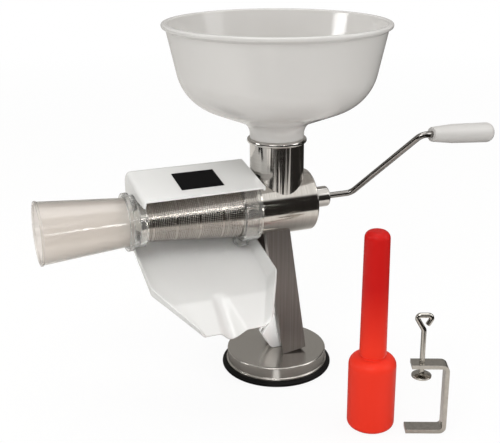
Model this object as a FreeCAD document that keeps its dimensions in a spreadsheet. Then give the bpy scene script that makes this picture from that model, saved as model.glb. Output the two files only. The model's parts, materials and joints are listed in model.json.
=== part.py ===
import FreeCAD, Part
import math
import os

import Sketcher
from FreeCAD import Placement, Rotation, Vector

# Hand-cranked food mill on a suction base, in millimetres.
# The origin is on the table at the centre of the rubber base, under the feed throat.
# +X runs along the auger towards the crank, +Y to the back and +Z up.

SIZES = [
    # suction base
    ("cup_radius", 59.0, "rubber cup, widest radius"),
    ("cup_edge", 3.0, "rubber cup, rounding of the lower edge"),
    ("cup_shoulder", 5.0, "height of the ledge that carries the lid"),
    ("cup_edge_run", 3.0, "slope of the cup's upper edge"),
    ("cup_crown", 11.0, "height of the rubber inside the lid"),
    ("cup_floor", 3.5, "rubber left under the stem plate"),
    ("disc_radius", 53.0, "pressed lid, outer radius"),
    ("disc_top", 19.6, "height of the lid's top face"),
    ("disc_wall", 1.5, "lid sheet thickness"),
    ("disc_edge", 4.0, "lid top edge rounding"),
    ("disc_bead", 1.2, "bead round the lid's lower edge"),
    ("disc_bead_height", 3.0, "height of that bead"),
    ("fit_gap", 0.2, "gap between parts that slip together"),
    # suction stem and cam lever
    ("stem_radius", 5.0, "stem rod"),
    ("plate_radius", 20.0, "plate at the foot of the stem"),
    ("plate_thickness", 3.0, "thickness of that plate"),
    ("blade_thickness", 4.0, "flat top of the stem"),
    ("blade_half", 4.3, "half width of that flat"),
    ("suction_lift", 4.2, "how far the lever lifts the stem"),
    ("pivot_rise", 16.4, "lever pivot above the lid"),
    ("pin_radius", 2.0, "lever pin"),
    ("pin_head", 1.2, "height of a pin head"),
    ("pin_head_radius", 3.2, "radius of a pin head"),
    ("running_gap", 0.05, "radial gap of a turning fit"),
    ("lever_thickness", 12.0, "lever across the pivot"),
    ("lever_back", 6.0, "lever arm behind the pivot"),
    ("lever_front", 4.0, "lever arm in front of the pivot"),
    ("lever_length", 56.0, "lever above the pivot"),
    ("lever_tip", 3.0, "rounding of the lever's end"),
    ("cam_gap", 0.15, "gap under the cam at rest"),
    ("slot_gap", 0.25, "side gap of the stem in the lever"),
    ("slot_rise", 6.5, "slot above the pivot"),
    # leg
    ("leg_tilt", 8.1, "lean of the leg, degrees"),
    ("leg_foot", -1.6, "where the leg's open edge meets the lid"),
    ("leg_flange", 26.5, "width of the leg's sides"),
    ("leg_half", 23.0, "half depth of the leg"),
    ("leg_sheet", 1.6, "leg sheet thickness"),
    ("leg_lip", 8.0, "return lip along the open edge"),
    ("leg_lip_taper", 75.0, "length over which the lips run out"),
    # body tube, throat and bearing
    ("axis_height", 183.0, "auger axis above the table"),
    ("barrel_radius", 32.0, "body tube, outer radius"),
    ("barrel_wall", 1.5, "body tube wall"),
    ("barrel_half", 32.0, "half length of the body tube"),
    ("throat_radius", 27.5, "feed throat, outer radius"),
    ("throat_wall", 1.5, "feed throat wall"),
    ("throat_height", 70.0, "throat rim above the axis"),
    ("throat_bead", 5.4, "height of the rolled rim"),
    ("rear_thickness", 2.0, "end plate of the body tube"),
    ("rear_edge", 1.5, "edge rounding of the end plate"),
    ("boss_radius", 10.75, "bearing boss"),
    ("boss_length", 23.0, "bearing boss beyond the end plate"),
    ("boss_edge", 1.5, "edge rounding of the boss"),
    ("boss_wall", 2.25, "wall of the boss"),
    ("seal_width", 3.0, "shaft seal"),
    ("journal_radius", 6.5, "auger journal"),
    ("washer_thickness", 1.8, "thrust washer"),
    ("washer_radius", 15.0, "thrust washer, outer radius"),
    ("end_play", 0.3, "end float of the auger"),
    # auger
    ("core_radius", 13.0, "auger core in the body tube"),
    ("core_end_radius", 14.5, "auger core at the outlet"),
    ("nose_length", 10.0, "tapered nose of the auger"),
    ("nose_radius", 8.0, "tip of that nose"),
    ("flight_pitch", 33.0, "pitch of the auger flight"),
    ("flight_thickness", 4.0, "thickness of the flight"),
    ("flight_gap", 0.8, "gap round the flight"),
    # crank
    ("rod_radius", 3.2, "crank rod"),
    ("rod_depth", 20.0, "rod inside the journal"),
    ("crank_reach", 86.0, "first bend of the crank along the axis"),
    ("crank_slant", 65.0, "slant of the crank arm, degrees"),
    ("crank_arm", 106.0, "length of the crank arm"),
    ("crank_bend", 9.0, "bend radius of the rod"),
    ("crank_phase", 40.0, "rest position of the crank, degrees from up to front"),
    ("grip_tilt", 6.0, "tilt of the grip, degrees"),
    ("grip_start", 12.0, "grip beyond the second bend"),
    ("grip_length", 76.0, "grip length"),
    ("grip_neck", 7.4, "grip radius next to the arm"),
    ("grip_belly", 10.3, "grip radius near its end"),
    ("grip_waist", 9.7, "grip radius at a third of its length"),
    ("grip_round", 7.0, "rounding of the grip's end"),
    ("grip_end_wall", 9.0, "closed end of the grip"),
    ("clip_radius", 4.8, "retaining clip on the rod's end"),
    ("clip_width", 1.6, "width of that clip"),
    ("cross_pin_radius", 1.25, "pin through journal and rod"),
    ("cross_pin_sunk", 0.3, "pin ends below the journal"),
    # strainer
    ("screen_sheet", 0.6, "strainer sheet"),
    ("screen_end_radius", 21.5, "strainer radius at the outlet"),
    ("screen_root_radius", 30.0, "strainer radius at the body tube"),
    ("screen_cone", 96.0, "length of the strainer's cone"),
    ("screen_seat", 13.0, "straight end of the strainer"),
    ("hoop_width", 12.0, "steel hoop at the large end"),
    ("hoop_sheet", 1.5, "thickness of that hoop"),
    ("tip_hoop_width", 8.0, "steel hoop at the small end"),
    ("tip_hoop_sheet", 1.0, "thickness of that hoop"),
    # clear collar and outlet ring
    ("collar_wall", 2.6, "wall of the clear collar"),
    ("collar_clear", 0.4, "collar to throat"),
    ("collar_lip", 1.6, "inward lip of the collar"),
    ("tab_drop", 5.0, "tab under the collar"),
    ("tab_half", 9.0, "half width of that tab"),
    ("tab_taper", 2.0, "taper of each side of the tab"),
    ("stud_radius", 1.2, "locking stud on the body tube"),
    ("stud_rise", 2.5, "height of a locking stud"),
    ("stud_angle", 38.0, "front stud below the axis, degrees"),
    ("ring_lap", 6.0, "outlet ring over the small hoop"),
    ("ring_wall", 3.2, "wall of the outlet ring"),
    ("ring_length", 17.0, "length of the outlet ring"),
    ("ring_flange", 2.8, "flange of the outlet ring"),
    ("ring_flange_width", 5.0, "width of that flange"),
    # pulp funnel
    ("funnel_radius", 24.0, "funnel at the outlet ring"),
    ("funnel_mouth", 31.0, "funnel at its open end"),
    ("funnel_wall", 1.5, "funnel wall"),
    ("funnel_length", 88.0, "funnel length"),
    ("funnel_lap", 4.5, "funnel inside the outlet ring"),
    ("funnel_lip", 0.8, "lip of the funnel's open end"),
    ("funnel_lip_width", 2.0, "width of that lip"),
    # splash guard
    ("guard_left", -150.0, "outer face of the guard's end at the outlet"),
    ("guard_clear", 0.8, "guard to throat"),
    ("guard_sheet", 2.0, "guard wall"),
    ("guard_front", -39.0, "front edge of the roof"),
    ("guard_back", 38.0, "outer face of the back wall"),
    ("roof_rise", 38.5, "roof above the auger axis"),
    ("roof_tilt", 9.9, "roof slope, degrees"),
    ("roof_bend", 13.0, "bend between roof and back wall"),
    ("roof_edge", 5.0, "rounded edge above the outlet"),
    ("guard_foot", 14.0, "front edge of the guard's ends below the axis"),
    ("tooth_left", 24.5, "lower edge of the left tooth above the axis"),
    ("tooth_right", 28.0, "lower edge of the right tooth above the axis"),
    ("seat_gap", 0.3, "gap between guard and clear rings"),
    # chute
    ("bend_y", -46.0, "where the chute starts to narrow, front to back"),
    ("bend_drop", 60.5, "its floor there, below the axis"),
    ("upper_tilt", 20.0, "slope of the upper floor, degrees"),
    ("apron_run", 18.1, "upper floor in front of the bend"),
    ("lower_tilt", 37.6, "slope of the lower floor, degrees"),
    ("lower_run", 36.5, "length of the lower floor"),
    ("chute_sheet", 2.0, "chute wall"),
    ("chute_rim", 10.0, "height of the chute's side walls at the bend"),
    ("back_rim", 6.0, "height of those walls at the back"),
    ("crease_rim", 9.0, "height of those walls at the crease"),
    ("chute_lip_rim", 7.5, "height of those walls at the lip"),
    ("floor_left", -147.0, "chute floor, left edge"),
    ("floor_right", -30.0, "chute floor, right edge"),
    ("flare_left", 0.5, "outward lean of the left wall"),
    ("flare_right", 8.0, "outward lean of the right wall"),
    ("leg_clear", 0.6, "chute to leg"),
    ("crease_left", -137.4, "floor at the crease, left edge"),
    ("crease_right", -38.1, "floor at the crease, right edge"),
    ("lip_tilt", 20.0, "forward lean of the lip, degrees"),
    ("lip_left", -110.0, "lip, left end"),
    ("lip_right", -52.0, "lip, right end"),
    ("lip_flare_left", 2.5, "lean of the left wall at the lip"),
    ("lip_flare_right", 7.5, "lean of the right wall at the lip"),
    ("spout_top", -88.0, "spout groove at the crease"),
    ("spout_end", -82.5, "spout groove at the lip"),
    ("spout_top_half", 8.0, "half width of the groove at the crease"),
    ("spout_half", 13.0, "half width of the groove at the lip"),
    ("spout_floor_half", 6.0, "half width of the groove's floor"),
    ("spout_top_depth", 0.6, "depth of the groove at the crease"),
    ("spout_depth", 9.5, "depth of the groove at the lip"),
    # plain plate on the roof
    ("plate_length", 43.0, "plate along the roof"),
    ("plate_width", 36.0, "plate down the roof"),
    ("plate_sheet", 0.6, "plate thickness"),
    ("plate_x", -109.0, "left edge of the plate"),
    ("plate_y", -26.0, "front edge of the plate"),
    # hopper, heights above the throat's rim
    ("hopper_wall", 2.4, "hopper wall"),
    ("spigot_length", 26.0, "hopper neck inside the throat"),
    ("spigot_gap", 0.4, "gap round that neck"),
    ("neck_radius", 27.4, "hopper neck above the throat"),
    ("neck_rise", 3.9, "straight neck"),
    ("flare_bend", 14.5, "radius of the flare"),
    ("bowl_floor_radius", 69.5, "end of the sloping floor"),
    ("bowl_floor_tilt", 22.1, "floor slope, degrees"),
    ("bowl_bend", 48.5, "bend between floor and wall"),
    ("bowl_wall_tilt", 12.2, "lean of the bowl's wall, degrees"),
    ("bowl_height", 115.0, "rim above the throat's rim"),
    ("rim_out", 5.03, "rim beyond the bowl's wall"),
    ("rim_bead", 6.5, "depth of the rolled rim"),
    ("rim_round", 2.0, "rounding of the rim"),
    ("rim_under", 2.6, "rise of the rim's underside"),
    # pusher
    ("pusher_x", 35.5, "pusher, place on the table"),
    ("pusher_y", -148.5, "pusher, place on the table"),
    ("pusher_radius", 22.6, "pusher head"),
    ("pusher_head", 73.0, "length of the head"),
    ("pusher_edge", 5.0, "rounding of the head"),
    ("pusher_shoulder", 9.0, "rounding of the shoulder"),
    ("shaft_radius", 12.8, "pusher shaft at the head"),
    ("shaft_tip_radius", 11.8, "pusher shaft at its tip"),
    ("shaft_tip_edge", 7.0, "rounding of that tip"),
    ("pusher_length", 198.0, "pusher, whole length"),
    ("shaft_groove", 1.2, "groove round the foot of the shaft"),
    # table clamp
    ("clamp_x", 95.5, "clamp, place on the table"),
    ("clamp_y", -185.5, "clamp, place on the table"),
    ("clamp_angle", -23.0, "clamp direction on the table, degrees"),
    ("clamp_height", 72.0, "clamp frame height"),
    ("clamp_jaw", 38.0, "lower jaw"),
    ("clamp_arm", 35.0, "upper jaw"),
    ("clamp_strip", 4.0, "strip thickness"),
    ("clamp_width", 14.0, "strip width"),
    ("clamp_bend", 7.0, "outer bend of the strip"),
    ("screw_radius", 2.4, "clamp screw"),
    ("screw_inset", 25.0, "screw from the back of the clamp"),
    ("screw_above", 33.0, "straight screw above the upper jaw"),
    ("screw_below", 9.0, "screw below the upper jaw"),
    ("screw_gap", 0.3, "gap of the screw in the jaw"),
    ("loop_side", 17.0, "wire loop, length of a side"),
    ("loop_bend", 3.0, "wire loop, bend radius"),
    ("loop_gap", 6.2, "open corner of the loop"),
    ("pad_radius", 9.4, "clamp pad"),
    ("pad_thickness", 3.4, "clamp pad thickness"),
    ("pad_socket", 1.8, "depth of the socket in the pad"),
]

doc = FreeCAD.newDocument("food_mill")
sheet = doc.addObject("Spreadsheet::Sheet", "Sizes")


class Size:
    """A number together with the sheet expression that gives it."""

    def __init__(self, value, text):
        self.value = float(value)
        self.text = text

    def __add__(self, other):
        return joined(self, "+", other, lambda a, b: a + b)

    def __radd__(self, other):
        return joined(other, "+", self, lambda a, b: a + b)

    def __sub__(self, other):
        return joined(self, "-", other, lambda a, b: a - b)

    def __rsub__(self, other):
        return joined(other, "-", self, lambda a, b: a - b)

    def __mul__(self, other):
        return joined(self, "*", other, lambda a, b: a * b)

    def __rmul__(self, other):
        return joined(other, "*", self, lambda a, b: a * b)

    def __truediv__(self, other):
        return joined(self, "/", other, lambda a, b: a / b)

    def __neg__(self):
        return joined(0.0, "-", self, lambda a, b: a - b)


def as_size(number):
    return number if isinstance(number, Size) else Size(number, repr(float(number)))


def joined(left, sign, right, act):
    left = as_size(left)
    right = as_size(right)
    return Size(act(left.value, right.value), f"({left.text} {sign} {right.text})")


def sine(angle):
    return Size(math.sin(math.radians(angle.value)), f"sin({angle.text})")


def cosine(angle):
    return Size(math.cos(math.radians(angle.value)), f"cos({angle.text})")


def tangent(angle):
    return Size(math.tan(math.radians(angle.value)), f"tan({angle.text})")


def root(size):
    return Size(math.sqrt(size.value), f"sqrt({size.text})")


class Sizes:
    """The driving dimensions, one attribute for each alias of the sheet."""


def fill_sheet():
    sizes = Sizes()
    for row, (alias, value, note) in enumerate(SIZES, start=1):
        sheet.set(f"A{row}", alias)
        sheet.set(f"B{row}", str(value))
        sheet.setAlias(f"B{row}", alias)
        sheet.set(f"C{row}", note)
        setattr(sizes, alias, Size(value, f"Sizes.{alias}"))
    doc.recompute()
    return sizes


s = fill_sheet()
pieces = []


def bind(thing, prop, size):
    thing.setExpression(prop, as_size(size).text)


def new_body(label, keep=True):
    body = doc.addObject("PartDesign::Body", "body_" + label)
    body.Label = label
    if keep:
        pieces.append(body)
    return body


def place(thing, x=0.0, y=0.0, z=0.0, turn_axis=None, turn=0.0):
    """Put a piece at a point, turned about one axis."""
    if turn_axis is not None:
        thing.Placement = Placement(Vector(), Rotation(turn_axis, as_size(turn).value))
        bind(thing, "Placement.Rotation.Angle", turn)
    bind(thing, "Placement.Base.x", x)
    bind(thing, "Placement.Base.y", y)
    bind(thing, "Placement.Base.z", z)


def arc_between(start, end, radius, left):
    """The arc of a circle from start to end, bending to the left or to the right."""
    middle = (start + end) * 0.5
    chord = end - start
    half = chord.Length / 2.0
    rise = math.sqrt(max(radius * radius - half * half, 0.0))
    normal = Vector(-chord.y, chord.x, 0).normalize()
    centre = middle + normal * (rise if left else -rise)
    first, last = (start, end) if left else (end, start)
    angle_first = math.atan2(first.y - centre.y, first.x - centre.x)
    angle_last = math.atan2(last.y - centre.y, last.x - centre.x)
    circle = Part.Circle(centre, Vector(0, 0, 1), radius)
    return Part.ArcOfCircle(circle, angle_first, angle_last)


def pin_down(sketch, geometry, vertex, x, y):
    """Fix one vertex of a sketch by its two coordinates."""
    for size, kind, axis in ((as_size(x), "DistanceX", -2), (as_size(y), "DistanceY", -1)):
        if size.text == "0.0":
            sketch.addConstraint(Sketcher.Constraint("PointOnObject", geometry, vertex, axis))
            continue
        index = sketch.addConstraint(
            Sketcher.Constraint(kind, -1, 1, geometry, vertex, size.value))
        sketch.setExpression(f"Constraints[{index}]", size.text)


def attach(body, sketch, plane):
    for feature in body.Origin.OriginFeatures:
        if feature.Role == plane:
            sketch.AttachmentSupport = [(feature, "")]
    sketch.MapMode = "FlatFace"


def draw(body, name, plane, outline, closed=True):
    """A sketch through points (x, y), or (x, y, radius, bend) where an arc leads to the point."""
    sketch = body.newObject("Sketcher::SketchObject", f"{body.Name}_{name}")
    attach(body, sketch, plane)
    spots = [Vector(as_size(p[0]).value, as_size(p[1]).value, 0) for p in outline]
    count = len(outline)
    spans = range(count) if closed else range(count - 1)
    ends = []
    for index in spans:
        target = (index + 1) % count
        leads = outline[target]
        if len(leads) == 2:
            line = Part.LineSegment(spots[index], spots[target])
            geometry = sketch.addGeometry(line, False)
            ends.append((geometry, 1, 2))
            continue
        left = leads[3] == "left"
        radius = as_size(leads[2])
        arc = arc_between(spots[index], spots[target], radius.value, left)
        geometry = sketch.addGeometry(arc, False)
        ends.append((geometry, 1, 2) if left else (geometry, 2, 1))
        number = sketch.addConstraint(Sketcher.Constraint("Radius", geometry, radius.value))
        sketch.setExpression(f"Constraints[{number}]", radius.text)
    for index, (geometry, first, last) in enumerate(ends):
        if closed or index + 1 < len(ends):
            following = ends[(index + 1) % len(ends)]
            sketch.addConstraint(
                Sketcher.Constraint("Coincident", geometry, last, following[0], following[1]))
        pin_down(sketch, geometry, first, outline[index][0], outline[index][1])
    if not closed:
        geometry, first, last = ends[-1]
        pin_down(sketch, geometry, last, outline[-1][0], outline[-1][1])
    return sketch


def draw_circle(body, name, plane, x, y, radius):
    sketch = body.newObject("Sketcher::SketchObject", f"{body.Name}_{name}")
    attach(body, sketch, plane)
    radius = as_size(radius)
    centre = Vector(as_size(x).value, as_size(y).value, 0)
    geometry = sketch.addGeometry(Part.Circle(centre, Vector(0, 0, 1), radius.value), False)
    number = sketch.addConstraint(Sketcher.Constraint("Radius", geometry, radius.value))
    sketch.setExpression(f"Constraints[{number}]", radius.text)
    pin_down(sketch, geometry, 3, x, y)
    return sketch


def shift(sketch, distance):
    """Move a sketch off its plane, along the plane's normal."""
    bind(sketch, "AttachmentOffset.Base.z", distance)


def turned(body, name, outline, about):
    """Revolve an outline about the body's X, Y or Z axis."""
    plane, axis = {"X": ("XZ_Plane", "H_Axis"), "Y": ("XY_Plane", "V_Axis"),
                   "Z": ("XZ_Plane", "V_Axis")}[about]
    sketch = draw(body, name, plane, outline)
    solid = body.newObject("PartDesign::Revolution", f"{body.Name}_{name}_turned")
    solid.Profile = sketch
    solid.ReferenceAxis = (sketch, [axis])
    solid.Angle = 360.0
    return solid


def padded(body, sketch, length, both_ways=False):
    solid = body.newObject("PartDesign::Pad", f"{sketch.Name}_pad")
    solid.Profile = sketch
    solid.SideType = "Symmetric" if both_ways else "One side"
    bind(solid, "Length", length)
    return solid


def cut_out(body, sketch, length, both_ways=False, flip=False):
    """Remove a sketch's area from the body, and make sure that something went."""
    doc.recompute()
    before = body.Shape.Volume
    hole = body.newObject("PartDesign::Pocket", f"{sketch.Name}_cut")
    hole.Profile = sketch
    hole.SideType = "Symmetric" if both_ways else "One side"
    hole.Reversed = flip
    bind(hole, "Length", length)
    doc.recompute()
    if body.Shape.Volume >= before:
        raise RuntimeError(f"{hole.Name} removes nothing")
    return hole


def swept(body, profile, path):
    pipe = body.newObject("PartDesign::AdditivePipe", f"{path.Name}_swept")
    pipe.Profile = profile
    pipe.Spine = (path, [])
    return pipe


def minus(label, base, tool):
    """One piece cut by another, kept under the given label."""
    result = doc.addObject("Part::Cut", "cut_" + label)
    result.Base = base
    result.Tool = tool
    result.Label = label
    pieces.append(result)
    return result


def cylinder(name, radius, length):
    solid = doc.addObject("Part::Cylinder", name)
    bind(solid, "Radius", radius)
    bind(solid, "Height", length)
    return solid


pivot_height = s.disc_top + s.pivot_rise
barrel_inner = s.barrel_radius - s.barrel_wall
throat_inner = s.throat_radius - s.throat_wall
rear_face = s.barrel_half + s.rear_thickness
boss_end = rear_face + s.boss_length
bush_outer = s.boss_radius - s.boss_wall


def suction_cup():
    body = new_body("suction_cup")
    bore = s.disc_radius - s.disc_wall - s.fit_gap
    well = s.plate_radius + s.fit_gap
    turned(body, "cup", [
        (0.0, 0.0),
        (s.cup_radius - s.cup_edge, 0.0),
        (s.cup_radius, s.cup_edge, s.cup_edge, "left"),
        (s.cup_radius - s.cup_edge_run, s.cup_shoulder),
        (bore, s.cup_shoulder),
        (bore, s.cup_crown),
        (well, s.cup_crown),
        (well, s.cup_floor),
        (0.0, s.cup_floor),
    ], "Z")


def base_disc():
    body = new_body("base_disc")
    hole = root(s.blade_half * s.blade_half + s.blade_thickness * s.blade_thickness / 4.0) + s.fit_gap
    bead_top = s.cup_shoulder + s.disc_bead_height
    turned(body, "lid", [
        (hole, s.disc_top - s.disc_wall),
        (s.disc_radius - s.disc_edge, s.disc_top - s.disc_wall),
        (s.disc_radius - s.disc_wall, s.disc_top - s.disc_edge, s.disc_edge - s.disc_wall, "right"),
        (s.disc_radius - s.disc_wall, s.cup_shoulder),
        (s.disc_radius + s.disc_bead, s.cup_shoulder),
        (s.disc_radius + s.disc_bead, bead_top - s.disc_bead),
        (s.disc_radius, bead_top),
        (s.disc_radius, s.disc_top - s.disc_edge),
        (s.disc_radius - s.disc_edge, s.disc_top, s.disc_edge, "left"),
        (hole, s.disc_top),
    ], "Z")


def suction_stem():
    body = new_body("suction_stem")
    plate_top = s.cup_floor + s.plate_thickness
    rod_top = s.disc_top - s.disc_wall - s.suction_lift - s.fit_gap
    turned(body, "rod", [
        (0.0, s.cup_floor),
        (s.plate_radius, s.cup_floor),
        (s.plate_radius, plate_top),
        (s.stem_radius, plate_top),
        (s.stem_radius, rod_top),
        (0.0, rod_top),
    ], "Z")
    flat = draw(body, "flat", "XZ_Plane", [
        (-s.blade_half, plate_top),
        (s.blade_half, plate_top),
        (s.blade_half, pivot_height),
        (0.0, pivot_height + s.blade_half, s.blade_half, "left"),
        (-s.blade_half, pivot_height, s.blade_half, "left"),
    ])
    padded(body, flat, s.blade_thickness, both_ways=True)
    eye = draw_circle(body, "eye", "XZ_Plane", 0.0, pivot_height, s.pin_radius + s.running_gap)
    cut_out(body, eye, s.blade_thickness * 2.0, both_ways=True)


def suction_lever():
    body = new_body("suction_lever")
    place(body, z=pivot_height)
    cam_shift = s.suction_lift / 2.0
    cam_radius = s.pivot_rise - s.cam_gap + cam_shift
    bottom = cam_shift - cam_radius
    side = draw(body, "side", "XZ_Plane", [
        (-cam_shift, bottom, cam_radius, "left"),
        (s.lever_front, bottom),
        (s.lever_back, bottom + s.lever_back),
        (s.lever_back, s.lever_length - s.lever_tip),
        (s.lever_back - s.lever_tip, s.lever_length, s.lever_tip, "left"),
        (s.lever_tip - s.lever_front, s.lever_length),
        (-s.lever_front, s.lever_length - s.lever_tip, s.lever_tip, "left"),
        (-s.lever_front, s.lever_length / 2.0),
        (-cam_shift - cam_radius, cam_shift),
    ])
    padded(body, side, s.lever_thickness, both_ways=True)
    reach = cam_radius + cam_shift * 2.0
    slot = draw(body, "slot", "XZ_Plane", [
        (-reach, -reach),
        (s.lever_back * 2.0, -reach),
        (s.lever_back * 2.0, s.slot_rise),
        (-reach, s.slot_rise),
    ])
    cut_out(body, slot, s.blade_thickness + s.slot_gap * 2.0, both_ways=True)
    bore = draw_circle(body, "bore", "XZ_Plane", 0.0, 0.0, s.pin_radius)
    cut_out(body, bore, s.lever_thickness * 2.0, both_ways=True)


def lever_pin():
    body = new_body("lever_pin")
    place(body, z=pivot_height)
    half = s.lever_thickness / 2.0
    turned(body, "pin", [
        (0.0, -half - s.pin_head),
        (s.pin_head_radius, -half - s.pin_head),
        (s.pin_head_radius, -half),
        (s.pin_radius, -half),
        (s.pin_radius, half),
        (s.pin_head_radius, half),
        (s.pin_head_radius, half + s.pin_head),
        (0.0, half + s.pin_head),
    ], "Y")


def leg():
    body = new_body("leg_channel", keep=False)
    place(body, x=s.leg_foot, z=s.disc_top, turn_axis=Vector(0, 1, 0), turn=-s.leg_tilt)
    inside = s.leg_half - s.leg_sheet
    lip = s.leg_half - s.leg_lip
    section = draw(body, "section", "XY_Plane", [
        (0.0, -lip),
        (0.0, -s.leg_half),
        (s.leg_flange, -s.leg_half),
        (s.leg_flange, s.leg_half),
        (0.0, s.leg_half),
        (0.0, lip),
        (s.leg_sheet, lip),
        (s.leg_sheet, inside),
        (s.leg_flange - s.leg_sheet, inside),
        (s.leg_flange - s.leg_sheet, -inside),
        (s.leg_sheet, -inside),
        (s.leg_sheet, -lip),
    ])
    padded(body, section, (s.axis_height - s.disc_top) / cosine(s.leg_tilt))
    taper = draw(body, "taper", "YZ_Plane", [
        (-inside, 0.0),
        (inside, 0.0),
        (lip, s.leg_lip_taper),
        (-lip, s.leg_lip_taper),
    ])
    cut_out(body, taper, s.leg_sheet * 2.0, both_ways=True)
    saddle = cylinder("leg_saddle", s.barrel_radius, s.barrel_half * 4.0)
    place(saddle, x=-s.barrel_half * 2.0, z=s.axis_height, turn_axis=Vector(0, 1, 0), turn=90.0)
    minus("leg", body, saddle)


def body_tube():
    body = new_body("body_tube")
    place(body, z=s.axis_height)
    turned(body, "tube", [
        (-s.barrel_half, barrel_inner),
        (s.barrel_half, barrel_inner),
        (s.barrel_half, s.barrel_radius),
        (-s.barrel_half, s.barrel_radius),
    ], "X")
    mouth = draw_circle(body, "mouth", "XY_Plane", 0.0, 0.0, throat_inner)
    cut_out(body, mouth, s.barrel_radius * 1.5, flip=True)


def throat():
    body = new_body("feed_throat")
    top = s.axis_height + s.throat_height
    roll = s.throat_bead / 2.0
    turned(body, "tube", [
        (throat_inner, s.axis_height),
        (s.throat_radius, s.axis_height),
        (s.throat_radius, top - s.throat_bead),
        (s.throat_radius + roll, top - roll, roll, "left"),
        (s.throat_radius, top, roll, "left"),
        (throat_inner, top),
    ], "Z")
    saddle = draw_circle(body, "saddle", "YZ_Plane", 0.0, s.axis_height, s.barrel_radius)
    cut_out(body, saddle, s.throat_radius * 3.0, both_ways=True)


def ring_about_axis(label, start, end, inner, outer):
    """A plain ring about the auger axis."""
    body = new_body(label)
    place(body, z=s.axis_height)
    turned(body, "ring", [(start, inner), (end, inner), (end, outer), (start, outer)], "X")
    return body


def rear_end():
    plate = new_body("rear_plate")
    place(plate, z=s.axis_height)
    turned(plate, "plate", [
        (s.barrel_half, s.boss_radius),
        (rear_face, s.boss_radius),
        (rear_face, s.barrel_radius - s.rear_edge),
        (rear_face - s.rear_edge, s.barrel_radius, s.rear_edge, "left"),
        (s.barrel_half, s.barrel_radius),
    ], "X")
    boss = new_body("bearing_boss")
    place(boss, z=s.axis_height)
    turned(boss, "boss", [
        (s.barrel_half, bush_outer),
        (boss_end, bush_outer),
        (boss_end, s.boss_radius - s.boss_edge),
        (boss_end - s.boss_edge, s.boss_radius, s.boss_edge, "left"),
        (s.barrel_half, s.boss_radius),
    ], "X")
    seal_end = rear_face + s.seal_width
    shaft_hole = s.journal_radius + s.running_gap
    ring_about_axis("shaft_seal", rear_face, seal_end, shaft_hole, bush_outer)
    ring_about_axis("bearing_bush", seal_end, boss_end, shaft_hole, bush_outer)
    ring_about_axis("thrust_washer", s.barrel_half - s.washer_thickness, s.barrel_half,
                    shaft_hole, s.washer_radius)


screen_end = -s.barrel_half - s.fit_gap
cone_start = screen_end - s.screen_seat
cone_end = cone_start - s.screen_cone
tip_end = cone_end - s.tip_hoop_width


def auger():
    shoulder = s.barrel_half - s.washer_thickness - s.end_play
    tail = boss_end - s.end_play
    core = new_body("auger_core", keep=False)
    place(core, z=s.axis_height)
    turned(core, "core", [
        (cone_end - s.nose_length, 0.0),
        (tail - s.rod_depth, 0.0),
        (tail - s.rod_depth, s.rod_radius),
        (tail, s.rod_radius),
        (tail, s.journal_radius),
        (shoulder, s.journal_radius),
        (shoulder, s.core_radius),
        (cone_start, s.core_radius),
        (cone_end, s.core_end_radius),
        (cone_end - s.nose_length, s.nose_radius),
    ], "X")
    flight = new_body("auger_flight", keep=False)
    place(flight, z=s.axis_height)
    foot = s.core_radius / 2.0
    first = shoulder - s.flight_thickness
    blade = draw(flight, "blade", "XZ_Plane", [
        (first, foot),
        (shoulder, foot),
        (shoulder, s.barrel_radius),
        (first, s.barrel_radius),
    ])
    spiral = flight.newObject("PartDesign::AdditiveHelix", "auger_spiral")
    spiral.Profile = blade
    spiral.ReferenceAxis = (blade, ["H_Axis"])
    spiral.Mode = "pitch-height-angle"
    bind(spiral, "Pitch", s.flight_pitch)
    bind(spiral, "Height", first - cone_end)
    spiral.Reversed = True
    envelope = new_body("auger_envelope", keep=False)
    place(envelope, z=s.axis_height)
    sheet_gap = s.screen_sheet + s.flight_gap
    turned(envelope, "envelope", [
        (cone_end, 0.0),
        (shoulder, 0.0),
        (shoulder, barrel_inner - s.flight_gap),
        (screen_end + s.flight_gap, barrel_inner - s.flight_gap),
        (screen_end + s.flight_gap, s.screen_root_radius - sheet_gap),
        (cone_start, s.screen_root_radius - sheet_gap),
        (cone_end, s.screen_end_radius - sheet_gap),
    ], "X")
    trimmed = doc.addObject("Part::Common", "flight_trimmed")
    trimmed.Base = flight
    trimmed.Tool = envelope
    whole = doc.addObject("Part::Fuse", "auger_whole")
    whole.Base = core
    whole.Tool = trimmed
    hole = cylinder("auger_pin_hole", s.cross_pin_radius, s.journal_radius * 4.0)
    place(hole, x=tail - s.rod_depth / 2.0, z=s.axis_height - s.journal_radius * 2.0)
    minus("auger", whole, hole)


def drive_pin():
    half = s.journal_radius - s.cross_pin_sunk
    pin = cylinder("drive_pin", s.cross_pin_radius, half * 2.0)
    pin.Label = "drive_pin"
    middle = boss_end - s.end_play - s.rod_depth / 2.0
    place(pin, x=middle, z=s.axis_height - half)
    pieces.append(pin)


def crank_corner():
    """The second bend of the crank, in the crank's own plane."""
    corner_x = s.crank_reach + s.crank_arm * cosine(s.crank_slant)
    corner_z = s.crank_arm * sine(s.crank_slant)
    return corner_x, corner_z


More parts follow.
